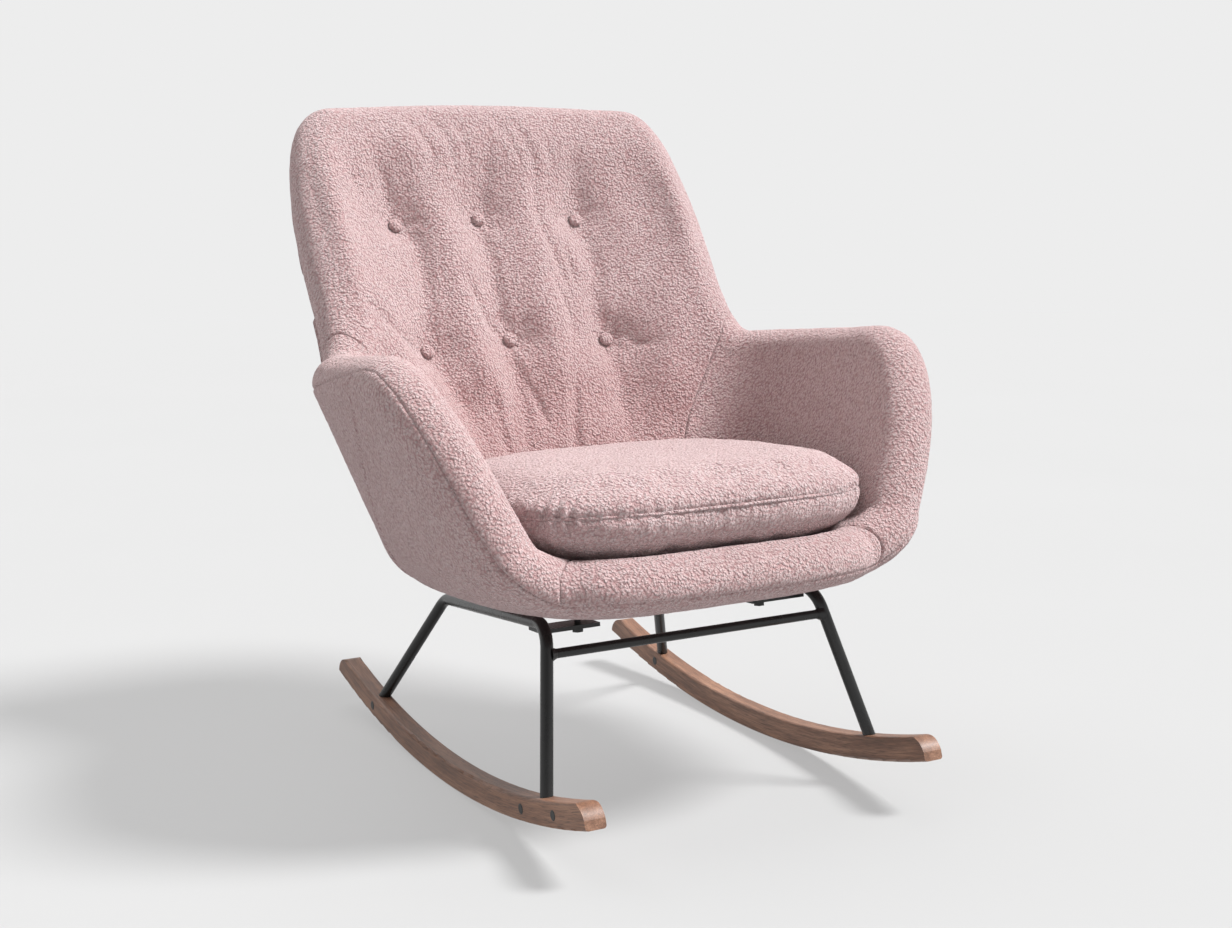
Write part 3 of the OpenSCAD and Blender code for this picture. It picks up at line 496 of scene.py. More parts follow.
def powder_black(name, base, rough, grain):
    """Powder-coated steel: near black, with a fine orange peel."""
    m, n = material(name)
    place = n.place()
    peel = n.noise(place, grain, 2.0, 0.55)
    patch = n.noise(place, 25, 3.0, 0.5)
    colour = n.ramp(patch, [(0.3, grey(base * 0.75)), (0.7, grey(base * 1.4))])
    roughness = n.math("ADD", rough, n.math("MULTIPLY", n.math("SUBTRACT", patch, 0.5), 0.2))
    n.shade(colour, roughness, peel, 0.00018, 0.7, Specular_IOR_Level=0.5)
    return m


def steel():
    """Plain zinc-plated steel with turning marks."""
    m, n = material("zinc_steel")
    place = n.place()
    marks = n.noise(n.scaled(place, (1, 1, 14)), 260, 3.0, 0.6)
    patch = n.noise(place, 60, 2.0, 0.5)
    colour = n.ramp(patch, [(0.3, (0.42, 0.43, 0.45)), (0.7, (0.62, 0.62, 0.63))])
    n.shade(colour, n.math("ADD", 0.22, n.math("MULTIPLY", marks, 0.25)), marks,
            0.0001, 0.6, Metallic=1.0)
    return m


def plywood():
    """Birch plywood: thin layers with the grain crossing from one to the next."""
    m, n = material("birch_ply")
    place = n.place()
    xyz = n.add("SeparateXYZ", {0: place})
    layer = n.math("SINE", n.math("MULTIPLY", xyz.outputs["Z"], 2400.0))
    grain = n.noise(n.scaled(place, (1, 0.06, 1)), 320, 3.0, 0.6)
    colour = n.ramp(grain, [(0.3, (0.42, 0.27, 0.14)), (0.7, (0.66, 0.49, 0.30))])
    edge = n.ramp(layer, [(0.42, grey(0.72)), (0.56, grey(1.0))])
    n.shade(n.mix(0.5, colour, edge, "MULTIPLY"), 0.6, grain, 0.0002, 0.6)
    return m


def twine():
    """Waxed twine, twisted."""
    m, n = material("waxed_twine")
    place = n.place()
    xyz = n.add("SeparateXYZ", {0: place})
    twist = n.math("SINE", n.math("MULTIPLY", n.math(
        "ADD", xyz.outputs["Y"], xyz.outputs["Z"]), 2600.0))
    colour = n.ramp(twist, [(0.2, (0.45, 0.40, 0.30)), (0.8, (0.72, 0.67, 0.56))])
    n.shade(colour, 0.7, twist, 0.0002, 0.8)
    return m


PAPER, GLOW = 0.19, 0.404  # share of light the paper gives back, and its own evened glow
PALE = 0.847  # what both come to, and the glow of the far paper


def backdrop():
    """Matt studio paper. Its even glow takes over where it turns up, far from the chair."""
    m, n = material("studio_floor")
    place = n.place()
    xyz = n.add("SeparateXYZ", {0: place})
    out = n.math("SQRT", n.math("ADD", n.math("POWER", xyz.outputs["X"], 2.0),
                                n.math("POWER", xyz.outputs["Y"], 2.0)))
    far = n.add("MapRange", {"Value": out, "From Min": 2.6, "From Max": 8.5},
                interpolation_type="SMOOTHSTEP").outputs[0]
    patch = n.noise(place, 1.2, 2.0, 0.5)
    near = n.ramp(patch, [(0.3, grey(PAPER * 0.99)), (0.7, grey(PAPER * 1.01))])
    n.shade(n.mix(far, near, grey(0.0)), 0.9, n.noise(place, 700, 2.0, 0.5), 0.0002, 0.3,
            Specular_IOR_Level=0.0)
    glow = n.mix(far, grey(GLOW), grey(PALE))
    n.tree.links.new(glow, n.bsdf.inputs["Emission Color"])
    n.bsdf.inputs["Emission Strength"].default_value = 1.0
    return m


# the panels' tints are painted light and shade: the arms' cloth a little darker and rosier for
# the shade inside them, the outer panels' likewise so their seams match, the cushion's paler
# for its lit top; the back's painted shade deepens towards the seat
CLOTH = {
    "back": boucle("boucle_back", 0.0, shade=(0.42, 0.64)),
    "arm": boucle("boucle_arm", 0.37, (0.985, 0.965, 0.96)),
    "outer": boucle("boucle_outer", 0.71, (0.97, 0.955, 0.95)),
    "cushion": boucle("boucle_cushion", 1.13, (1.02, 1.04, 1.04)),
}


def dress(obj, mat, body, *nodes, slot=None):
    obj.data.materials.clear()
    obj.data.materials.append(mat)
    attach(obj, body)
    if nodes:
        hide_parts(*nodes)
    return obj


# ---------------------------------------------------------------- inner back

def share_line(pairs):
    xs, ys = np.array(pairs, float).T
    return lambda s: np.interp(s, xs, ys)


INNER_SEAM = share_line([(0, 42), (0.45, 44.5), (0.62, 47.5), (0.8, 50.5), (0.87, 51.5)])
LIP_SEAM = share_line([(0, 137), (0.87, 138)])
OUTER_SHIFT, MIDDLE_SHIFT = -2.4, -4.4  # how far the buttons lie round to one side
BUTTONS = [(OUTER_SHIFT - 20, 2.2), (MIDDLE_SHIFT, 2.2), (OUTER_SHIFT + 20, 2.2),
           (OUTER_SHIFT - 25, 1.6), (MIDDLE_SHIFT, 1.6), (OUTER_SHIFT + 25, 1.6)]


def drift(a):
    """Moves a fold drawn for evenly spaced buttons along with them."""
    shifts = [0, OUTER_SHIFT, MIDDLE_SHIFT, OUTER_SHIFT, 0]
    return a + np.interp(a, [-44, -22, 0, 22, 46], shifts)


def as_arrays(pairs):
    a, g = np.array(pairs, float).T
    return a, g


BUTTON_MIDS = middle(*as_arrays(BUTTONS))


def broad_hollow(a, g):
    """How far the tufting draws in the back as a whole."""
    return (14 * np.maximum(1 - (a / 49) ** 4, 0) * smooth_step((g - 1) / 0.4)
            * smooth_step((rim_g(a) - g - 0.1) / 0.45))


def rolls(a, g):
    """How far the stuffing bulges at both sides of the back, between its buttons and on top."""
    left_over = rim_g(a) - g
    high = smooth_step((g - 1.1) / 0.35) * smooth_step((left_over - 0.03) / 0.22)
    sides = 12 * np.exp(-((np.abs(a) - 38.5) / 7) ** 2)
    between = 8 * np.exp(-((np.abs(a - MIDDLE_SHIFT) - 11) / 4.5) ** 2)
    top = 6 * np.exp(-((left_over - 0.24) / 0.12) ** 2) * np.clip(1 - (a / 42) ** 4, 0, 1)
    return (sides + between) * high + top


def cad_sunk(a, g):
    """How far the CAD's inner back is drawn in, which is where its buttons sit."""
    d = np.linalg.norm(middle(a, g)[..., None, :] - BUTTON_MIDS, axis=-1)
    return broad_hollow(a, g) + 24 * np.exp(-(d / 27) ** 2).max(-1)


FOLD_GAIN = 1.2
MAIN_FOLDS = 9  # the first of the list, which also lie in broad valleys
BUTTON_SEAT = 20.5  # how deep a button's flat seat lies under the broad hollow, in mm

# Folds of the back: points (angle, girth), drawn for evenly spaced buttons; depth and width
# to the left and right of the line in mm; how much of the line's two ends fades out.
FOLDS = [
    # down from the upper buttons to the lower ones
    ([(-20, 2.2), (-17.6, 2.1), (-18.6, 1.97), (-20.6, 1.83), (-23, 1.7), (-25, 1.6)],
     9.0, 26, 18, 0, 0),
    ([(0, 2.2), (-0.4, 2.09), (-0.3, 1.96), (-0.8, 1.82), (-1.2, 1.7), (0, 1.6)],
     11.0, 30, 16, 0, 0),
    ([(20, 2.2), (21.9, 2.07), (22.9, 1.93), (22.3, 1.8), (23.2, 1.68), (25, 1.6)],
     10.0, 28, 20, 0, 0),
    # down from the lower buttons to the seat
    ([(-25, 1.6), (-23.7, 1.47), (-23, 1.34), (-22.5, 1.2), (-22, 0.95)], 7.0, 24, 18, 0, 0.5),
    ([(0, 1.6), (-0.9, 1.5), (-1.3, 1.4), (-2.5, 1.27), (-6, 1.08), (-9, 0.9)],
     10.0, 30, 14, 0, 0.35),
    ([(25, 1.6), (26.5, 1.45), (27.5, 1.3), (28.6, 1.12), (29, 0.9)], 6.0, 20, 16, 0, 0.5),
    # up from the upper buttons to the top edge
    ([(-20, 2.2), (-20.1, 2.3), (-20.3, 2.4), (-21.3, 2.54), (-23.5, 2.72)],
     9.0, 22, 17, 0, 0.95),
    ([(0, 2.2), (1.2, 2.3), (3.0, 2.42), (3.4, 2.56), (2.2, 2.74)], 10.0, 24, 16, 0, 0.95),
    ([(20, 2.2), (20.2, 2.32), (20, 2.49), (19.3, 2.72)], 10.0, 28, 24, 0, 0.95),
    # pleats that fan out under the top edge
    ([(-17.5, 2.24), (-13.5, 2.32), (-9.3, 2.42), (-9, 2.52), (-12.5, 2.7)],
     4.0, 13, 10, 0.5, 0.2),
    ([(-4.4, 2.3), (-4, 2.42), (-4.4, 2.56), (-7, 2.7)], 3.6, 11, 9, 0.6, 0.2),
    ([(-0.5, 2.28), (-0.2, 2.42), (-1.0, 2.57), (-2.6, 2.7)], 3.0, 10, 8, 0.6, 0.2),
    ([(8.6, 2.3), (9.0, 2.42), (7.7, 2.56), (5.0, 2.7)], 3.4, 11, 9, 0.6, 0.2),
    ([(-26, 2.28), (-27.5, 2.4), (-29.5, 2.52)], 3.0, 12, 9, 0.4, 0.5),
    ([(14, 2.62), (14.6, 2.5), (16.5, 2.36)], 3.0, 10, 8, 0.5, 0.5),
    # the long fold from the top edge down between the middle and right buttons
    ([(7.4, 2.71), (10.1, 2.56), (11.8, 2.41), (11.3, 2.29), (11.2, 2.18), (13.2, 2.01),
      (15.2, 1.86), (16.8, 1.72), (18.5, 1.6)], 6.0, 18, 13, 0.15, 0.35),
    ([(8.9, 2.05), (11.7, 1.91), (14.4, 1.76), (15.6, 1.64), (15.4, 1.5)],
     4.5, 13, 8, 0.4, 0.4),
    ([(15.5, 2.08), (17.2, 1.93), (18, 1.8)], 4.0, 10, 7, 0.4, 0.4),
    ([(-9.8, 1.98), (-8, 1.82), (-6, 1.69), (-1.5, 1.61)], 5.5, 16, 10, 0.4, 0.1),
    # wrinkles towards the arm
    ([(-41, 1.86), (-38, 1.76), (-34.5, 1.66), (-27, 1.6)], 4.0, 12, 9, 0.45, 0.2),
    ([(-44, 1.95), (-42, 1.83), (-37.5, 1.75), (-33, 1.7)], 3.5, 11, 8, 0.45, 0.4),
    ([(40, 1.62), (34, 1.56), (28, 1.585)], 3.0, 12, 10, 0.5, 0.3),
    # folds that rise from the seat
    ([(0.3, 1.52), (1.0, 1.38), (2.6, 1.24), (4, 1.06)], 4.0, 11, 8, 0.4, 0.3),
    ([(13.3, 1.42), (13.2, 1.28), (11.5, 1.14), (9.8, 0.98)], 7.0, 18, 11, 0.4, 0.15),
    ([(-12, 1.44), (-13, 1.3), (-14.5, 1.15), (-15.5, 1.0)], 4.5, 16, 10, 0.45, 0.2),
]


def fold_field(p_mid, a, folds):
    """Depth of the folds at each point of the middle surface, and of valleys along them."""
    flat, flat_a = p_mid.reshape(-1, 3), a.ravel()
    total = np.zeros(len(flat))
    valleys = np.zeros(len(flat))
    for points, depth, wide_left, wide_right, fade_in, fade_out in folds:
        fa, fg = as_arrays(points)
        t = np.linspace(0, 1, len(fa))
        fine = np.linspace(0, 1, 40)
        line_a = drift(catmull(t, fa, fine))
        line = middle(line_a, catmull(t, fg, fine))
        near = np.linalg.norm(flat - line.mean(0), axis=1) < 90 + np.linalg.norm(
            line[0] - line[-1])
        q = flat[near]
        d = np.linalg.norm(q[:, None] - line[None], axis=-1)
        k = d.argmin(1)
        best = d[np.arange(len(q)), k]
        side = np.sign(flat_a[near] - line_a[k])
        wide = np.where(side < 0, wide_left, wide_right)
        u = fine[k]
        fade = np.ones_like(u)
        if fade_in:
            fade *= smooth_step(u / fade_in)
        if fade_out:
            fade *= smooth_step((1 - u) / fade_out)
        crease = np.exp(-(np.sqrt(best ** 2 + 2.5 ** 2) - 2.5) / wide)
        lip = 0.16 * np.exp(-((best - 0.95 * wide) / (0.5 * wide)) ** 2)
        part = FOLD_GAIN * depth * fade * (crease - lip)
        old = total[near]
        total[near] = old + part - 0.5 * np.minimum(np.maximum(old, 0), np.maximum(part, 0))
        spread = np.where(side < 0, 30, 36)
        broad = 9 * fade * np.exp(-(np.maximum(best - 3, 0) / spread) ** 2)
        valleys[near] = np.maximum(valleys[near], broad)
    return total.reshape(a.shape), valleys.reshape(a.shape)


def catmull(t, v, at):
    """A smooth curve through the values v at t."""
    slope = np.gradient(v, t)
    k = np.clip(np.searchsorted(t, at, side="right") - 1, 0, len(t) - 2)
    h = t[k + 1] - t[k]
    s = (at - t[k]) / h
    return ((2 * s ** 3 - 3 * s ** 2 + 1) * v[k] + (s ** 3 - 2 * s ** 2 + s) * h * slope[k]
            + (3 * s ** 2 - 2 * s ** 3) * v[k + 1] + (s ** 3 - s ** 2) * h * slope[k + 1])


def button_dimples(p_mid, normals):
    """Dimples round the buttons, with small folds that run into them."""
    total = np.zeros(p_mid.shape[:-1])
    right = np.array([1.0, 0, 0])
    for k, m in enumerate(BUTTON_MIDS):
        off = p_mid - m
        d = np.linalg.norm(off, axis=-1)
        up = np.cross(np.broadcast_to(right, normals.shape), normals)
        turn = np.arctan2((off * up).sum(-1), off[..., 0])
        pit = 31 * np.exp(-(d / 31) ** 1.3)
        rays = np.cos(7 * turn + 1.3 * k) + 0.6 * np.cos(11 * turn + 2.1 * k)
        pit += 1.5 * rays * np.exp(-((d - 20) / 15) ** 2)
        total = np.maximum(total, 0) + pit - 0.35 * np.minimum(np.maximum(total, 0), pit)
    return total


def rough_pile(p, seed):
    """Unevenness of the looped cloth that is coarse enough to be in the mesh."""
    return 0.45 * noise_at(p, 6.0, seed) + 0.5 * noise_at(p, 22.0, seed + 7)


def edge_depth(panel, seed, depth=4.6):
    """How far an inner panel turns down at its seams, with small gathers."""
    left, right, low, high = panel.from_edges()
    total = np.full(panel.a.shape, -9.0)
    folds = np.zeros(panel.a.shape)
    for d, along in ((left, low), (right, low + 500), (high, panel.a * 6)):
        total = np.maximum(total, seam_fall(d, depth))
        folds += pucker(d, along, 9.0, 9.0, 0.35, seed)
    return total + folds


def build_inner_back():
    panel = Panel(lambda s: -INNER_SEAM(s), INNER_SEAM, INNER_LOW, True, 3.7)
    mid = middle(panel.a, np.minimum(panel.g, rim_g(panel.a)))
    over = np.arange(panel.a.shape[1])[None] / panel.a.shape[1]
    inside = smooth_step((rim_g(panel.a) - panel.g) / 0.06) * (over < 0.93)
    sink = 0.5 * broad_hollow(panel.a, panel.g)
    dimples = button_dimples(mid, panel.n)
    main, valleys = fold_field(mid, panel.a, FOLDS[:MAIN_FOLDS])
    fine = fold_field(mid, panel.a, FOLDS[MAIN_FOLDS:])[0]
    deep = 0.7 * main + valleys
    sink = sink + inside * (dimples + deep - 0.45 * np.minimum(dimples, np.maximum(deep, 0)))
    sink -= inside * rolls(panel.a, panel.g)
    off = np.linalg.norm(mid[..., None, :] - BUTTON_MIDS, axis=-1).min(-1)
    base = broad_hollow(panel.a, panel.g)
    sink = smooth_min(sink, base + 22 - 12 * smooth_step(off / 55), 9)
    sink += inside * (0.45 * main + 1.25 * fine) * smooth_step((off - 12) / 28)
    sink += np.exp(-(off / 11.5) ** 4) * (base + BUTTON_SEAT - sink)
    sink += edge_depth(panel, 1.0) + rough_pile(panel.p, 3.0)
    sink += 1.3 * inside * noise_at(panel.p, 48, 11.0)
    face = panel.p - sink[..., None] * panel.n
    obj = solid("inner_back_pad", face, 4.0)
    return dress(obj, CLOTH["back"], CHAIR, "inner_back", slot="boucle")


def build_inner_arm(sign, name, node):
    low, high = (INNER_SEAM, LIP_SEAM) if sign > 0 else (
        lambda s: -LIP_SEAM(s), lambda s: -INNER_SEAM(s))
    panel = Panel(low, high, INNER_LOW, True, 4.2)
    sink = edge_depth(panel, 2.0 + sign, 5.2) + rough_pile(panel.p, 5.0 + sign)
    sink += 1.0 * noise_at(panel.p, 70, 2.0)
    face = panel.p - sink[..., None] * panel.n
    obj = solid(name, face, 4.0)
    return dress(obj, CLOTH["arm"], CHAIR, node, slot="boucle")


def build_front_roll():
    panel = Panel(LIP_SEAM, lambda s: 360 - LIP_SEAM(s), INNER_LOW, True, 4.0)
    sink = edge_depth(panel, 4.0) + rough_pile(panel.p, 9.0)
    face = panel.p - sink[..., None] * panel.n
    obj = solid("front_roll_pad", face, 4.0)
    return dress(obj, CLOTH["outer"], CHAIR, "front_roll", slot="boucle")


BACK_SEAM = share_line([(0, 74), (0.35, 77), (0.5, 81), (0.64, 85.5), (0.77, 91), (0.87, 95)])


def build_outer_back():
    panel = Panel(lambda s: -BACK_SEAM(s), BACK_SEAM, OUTER_LOW, False, 4.6)
    sink = edge_depth_outer(panel, 5.0) + rough_pile(panel.p, 13.0)
    face = panel.p - sink[..., None] * panel.n
    obj = solid("outer_back_cover", face, 3.5)
    return dress(obj, CLOTH["outer"], CHAIR, "outer_back", slot="boucle")


def build_outer_wrap():
    panel = Panel(BACK_SEAM, lambda s: 360 - BACK_SEAM(s), OUTER_LOW, False, 4.6)
    sink = edge_depth_outer(panel, 6.0) + rough_pile(panel.p, 17.0)
    face = panel.p - sink[..., None] * panel.n
    obj = solid("outer_side_cover", face, 3.5)
    return dress(obj, CLOTH["outer"], CHAIR, "outer_side_left", "outer_side_right",
                 "outer_front", slot="boucle")


def edge_depth_outer(panel, seed):
    """How far an outer panel turns down at its seams. Its first column is the high one."""
    left, right, high, low = panel.from_edges()
    total = seam_fall(low, 2.5)
    folds = np.zeros(panel.a.shape)
    for d, along in ((left, high), (right, high + 500), (high, panel.a * 6)):
        total = np.maximum(total, seam_fall(d, 4.8))
        folds += pucker(d, along, 9.0, 8.0, 0.3, seed)
    return total + folds


BOWL_RUN = 330  # mm that the bowl's side is long for a girth of one


def dish(name, face, back):
    """A closed dish of cloth: each sheet is rings of points and the point in their middle."""
    rows, cols = face[0].shape[:2]
    points = np.concatenate([face[0].reshape(-1, 3), back[0].reshape(-1, 3),
                             face[1][None], back[1][None]]) * MM
    faces = []
    b, mid_f = rows * cols, 2 * rows * cols
    for i in range(rows):
        k = (i + 1) % rows
        for j in range(cols - 1):
            q = [i * cols + j, k * cols + j, k * cols + j + 1, i * cols + j + 1]
            faces += [q, [v + b for v in reversed(q)]]
        faces.append([k * cols + cols - 1, k * cols + cols - 1 + b, i * cols + cols - 1 + b,
                      i * cols + cols - 1])
        faces += [[i * cols, k * cols, mid_f], [k * cols + b, i * cols + b, mid_f + 1]]
    return mesh_object(name, points, faces)


def build_dish(name, node, top_g, side, seed, mat, deep):
    a = np.arange(-180, 180, 2.0)
    g = np.concatenate([np.linspace(0.03, top_g - 0.03, 26),
                        [top_g - 0.018, top_g - 0.008, top_g - 0.002]])
    aa, gg = np.meshgrid(a, g, indexing="ij")
    n = normal(aa, gg) * side
    p = wall_point(aa, gg, side)
    sink = seam_fall((top_g - gg) * BOWL_RUN, 2.5)
    sink = sink + 0.6 * noise_at(p, 30, seed) + 0.3 * noise_at(p, 6, 3.0)
    p = p - sink[..., None] * n
    middle_a, middle_g = np.array([0.0]), np.array([0.01])
    centre_n = normal(middle_a, middle_g)[0] * side
    centre = wall_point(middle_a, middle_g, side)[0]
    back = p - deep * n
    if side < 0:
        p, back = p[::-1], back[::-1]
    obj = dish(name, (p, centre), (back, centre - deep * centre_n))
    return dress(obj, mat, CHAIR, node, slot="boucle")


# ---------------------------------------------------------------- buttons

BUTTON_NAMES = ["upper_right", "upper_middle", "upper_left", "lower_right", "lower_middle",
                "lower_left"]


def build_buttons():
    """Covered buttons: a dome of cloth drawn in under its edge."""
    profile = [(0, 5.6), (2.5, 5.55), (5, 5.3), (7.6, 4.6), (9.4, 3.2), (10.2, 1.4), (10.4, 0),
               (9.8, -1.2), (7.6, -2.0), (4.5, -2.3), (2.4, -2.4), (2.4, -7.5), (0, -7.5)]
    turns, raised = 40, 5.6
    made = []
    for name, (a, g) in zip(BUTTON_NAMES, BUTTONS):
        aa, gg = np.array([float(a)]), np.array([float(g)])
        n = normal(aa, gg)[0]
        base = (wall_point(aa, gg, 1) - cad_sunk(aa, gg)[:, None] * n)[0] + raised * n
        x = unit(np.cross([0, 0, 1.0], n))
        y = np.cross(n, x)
        points, faces = [base + profile[0][1] * n], []
        for r, h in profile[1:-1]:
            for k in range(turns):
                t = 2 * math.pi * k / turns
                gather = 1 + 0.025 * math.sin(9 * t + a) * (h < 2.5)
                points.append(base + r * gather * (math.cos(t) * x + math.sin(t) * y) + h * n)
        points.append(base + profile[-1][1] * n)
        rings = len(profile) - 2
        for k in range(turns):
            m = (k + 1) % turns
            faces.append([0, 1 + k, 1 + m])
            for j in range(rings - 1):
                q = 1 + j * turns
                faces.append([q + k, q + turns + k, q + turns + m, q + m])
            q = 1 + (rings - 1) * turns
            faces.append([q + k, len(points) - 1, q + m])
        obj = mesh_object("button_" + name, np.array(points) * MM, faces)
        made.append(dress(obj, CLOTH["back"], CHAIR, "tufting_buttons", slot="boucle"))
    return made


# ---------------------------------------------------------------- loose cushion

CUSHION_Y, HALF_W, HALF_D, CUSHION_N = -126.5, 248.0, 218.5, 3.6
SEAM_Z, RISE, FALL = 387.0, 52.0, 63.0  # the seam's height, and the most over and under it
BLOW_FRAMES, MOST_SWELL = 20, 0.009  # how long the cloth is blown up, and how far, in metres
START_IN = 5.0  # how much smaller the cushion starts, in mm
WELT_R, WELT_SIDES, WELT_IN = 2.0, 12, 1.2  # the cord's radius and how deep it sits


def cushion_outline(a):
    s, c = np.abs(np.sin(np.radians(a))), np.abs(np.cos(np.radians(a)))
    return ((s / HALF_W) ** CUSHION_N + (c / HALF_D) ** CUSHION_N) ** (-1 / CUSHION_N)


def cushion_point(a, lat, t):
    """A point of the cushion at an angle and a latitude over its seam, t mm under its skin."""
    r = cushion_outline(a) - t
    up = lat > 0
    h = np.where(up, RISE, FALL) - t
    inward = np.cos(np.radians(lat)) ** np.where(up, 0.36, 0.29)
    rise = np.sin(np.radians(np.abs(lat))) ** np.where(up, 0.82, 0.64) * np.sign(lat)
    y = r * inward * np.cos(np.radians(a))
    return np.stack([r * inward * np.sin(np.radians(a)), CUSHION_Y + y,
                     SEAM_Z + h * rise - TILT * y], -1)


def only(obj):
    for o in bpy.context.selected_objects:
        o.select_set(False)
    bpy.context.view_layer.objects.active = obj
    obj.select_set(True)


def coords(obj):
    out = np.empty(len(obj.data.vertices) * 3, np.float32)
    obj.data.vertices.foreach_get("co", out)
    return out.reshape(-1, 3).astype(float)


def set_coords(obj, co):
    obj.data.vertices.foreach_set("co", co.astype(np.float32).ravel())
    obj.data.update()


def vertex_normals(obj):
    out = np.empty(len(obj.data.vertices) * 3, np.float32)
    obj.data.vertices.foreach_get("normal", out)
    return out.reshape(-1, 3).astype(float)


def build_cushion():
    """The loose cushion: a slightly small form, blown up as cloth between its seams."""
    a = np.arange(-180, 180, 4.0)
    lats = np.concatenate([np.linspace(-84, -6, 16), [0], np.linspace(6, 84, 16)])
    aa, ll = np.meshgrid(a, lats, indexing="ij")
    p = cushion_point(aa, ll, START_IN)
    rows, cols = p.shape[:2]
    poles = cushion_point(np.array([0.0, 0.0]), np.array([-90.0, 90.0]), START_IN)
    points = np.concatenate([p.reshape(-1, 3), poles]) * MM
    faces = []
    for i in range(rows):
        k = (i + 1) % rows
        for j in range(cols - 1):
            faces.append([i * cols + j, i * cols + j + 1, k * cols + j + 1, k * cols + j][::-1])
        faces.append([k * cols, i * cols, rows * cols])
        faces.append([i * cols + cols - 1, k * cols + cols - 1, rows * cols + 1])
    obj = mesh_object("seat_cushion_pad", points, faces)
    only(obj)
    obj.data.remesh_voxel_size = 0.0055
    bpy.ops.object.voxel_remesh()
    rest = coords(obj)
    blow_up(obj, rest)
    smooth = obj.modifiers.new("round", "SUBSURF")
    smooth.levels = smooth.render_levels = 1
    bpy.ops.object.modifier_apply(modifier=smooth.name)
    finish_cushion(obj)
    obj.data.polygons.foreach_set("use_smooth", [True] * len(obj.data.polygons))
    return dress(obj, CLOTH["cushion"], CUSHION, "cushion_cover_top", "cushion_cover_bottom",
                 "cushion_foam", slot="boucle")


def seam_frame(co):
    """Angle round the cushion, height over the seam's plane and distance in from its edge."""
    x, y, z = co[:, 0] / MM, co[:, 1] / MM - CUSHION_Y, co[:, 2] / MM
    ang = np.degrees(np.arctan2(x, y))
    over = z - (SEAM_Z - TILT * y)
    inside = cushion_outline(ang) - np.hypot(x, y)
    return ang, over, inside


def blow_up(obj, rest):
    scene = bpy.context.scene
    cloth = obj.modifiers.new("blow", "CLOTH")
    s = cloth.settings
    s.quality = 6
    s.mass = 0.3
    s.tension_stiffness = s.compression_stiffness = 12
    s.shear_stiffness = 5
    s.bending_stiffness = 0.25
    s.use_pressure = True
    s.uniform_pressure_force = 4.0
    s.effector_weights.gravity = 0
    cloth.collision_settings.use_self_collision = False
    cloth.point_cache.frame_start, cloth.point_cache.frame_end = 1, BLOW_FRAMES
    for f in range(1, BLOW_FRAMES + 1):
        scene.frame_set(f)
    dg = bpy.context.evaluated_depsgraph_get()
    moved = np.empty(len(rest) * 3, np.float32)
    ev = obj.evaluated_get(dg).to_mesh()
    ev.vertices.foreach_get("co", moved)
    obj.evaluated_get(dg).to_mesh_clear()
    moved = moved.reshape(-1, 3).astype(float)
    obj.modifiers.remove(cloth)
    scene.frame_set(1)
    step = moved - rest
    size = np.linalg.norm(step, axis=1, keepdims=True)
    set_coords(obj, rest + step * np.minimum(1, MOST_SWELL / np.maximum(size, 1e-9)))


def finish_cushion(obj):
    """Brings the cloth to the cushion's size, then adds the seam, its gathers and pile."""
    co = coords(obj)
    low, high = (np.array(v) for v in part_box("cushion_cover_top"))
    span = co.max(0) - co.min(0)
    scale = (high - low)[:2] / span[:2]
    co[:, :2] = (co[:, :2] - (co.max(0) + co.min(0))[:2] / 2) * scale + (0, CUSHION_Y * MM)
    over = seam_frame(co)[1]
    shift = np.where(over > 0, over * RISE / over.max(), over * FALL / -over.min()) - over
    co[:, 2] += shift * MM
    set_coords(obj, co)
    n = vertex_normals(obj)
    ang, over, inside = seam_frame(co)
    edge = np.exp(-np.maximum(inside - 15, 0) / 12)
    groove = 3.0 * np.exp(-(np.sqrt(over ** 2 + 4) - 2) / 3.2) * edge
    arc = np.radians(ang) * 235
    fold = np.array([noise.noise(Vector((v / 11.0, 0.3 * np.sign(o), 1.0)))
                     for v, o in zip(arc, over)])
    reach = np.where(over < 0, 22, 13)
    gathers = 2.8 * fold * np.exp(-np.abs(np.abs(over) - 5) / reach) * edge
    corner = np.exp(-((np.abs(ang) - 128) / 9) ** 2)
    pleats = 2.6 * corner * np.cos(np.radians(ang) * 95) * np.exp(-np.abs(over - 4) / 22) * edge
    p = co / MM
    pile = 0.5 * noise_at(p, 6.0, 21.0) + 0.9 * noise_at(p, 30.0, 22.0)
    wide = 1.6 * noise_at(p, 85.0, 23.0)
    sink = groove + gathers + pleats + pile + wide * np.clip(np.abs(over) / 20, 0, 1)
    set_coords(obj, co - sink[:, None] * MM * n)


def build_welt():
    """Thin corded welt in the cushion's seam, a little wavy as it is sewn."""
    a = np.arange(-180, 180, 1.5)
    line = cushion_point(a, 0 * a, WELT_IN)
    wave = np.array([noise.noise(Vector((v / 9.0, 0, 5))) for v in a])
    line[:, 2] += 0.9 * wave
    out = unit(np.stack([line[:, 0], line[:, 1] - CUSHION_Y, 0 * a], -1))
    rings = []
    for k in range(WELT_SIDES):
        t = 2 * math.pi * k / WELT_SIDES
        rings.append(line + WELT_R * (math.cos(t) * out + math.sin(t) * np.array([0, 0, 1.0])))
    p = np.stack(rings, 1)
    faces = []
    rows = len(a)
    for i in range(rows):
        here, there = i * WELT_SIDES, (i + 1) % rows * WELT_SIDES
        for k in range(WELT_SIDES):
            q = (k + 1) % WELT_SIDES
            faces.append([here + k, there + k, there + q, here + q])
    obj = mesh_object("cushion_seam_welt", p.reshape(-1, 3) * MM, faces)
    return dress(obj, CLOTH["cushion"], CUSHION, "cushion_welt", slot="boucle")


# ---------------------------------------------------------------- putting it together

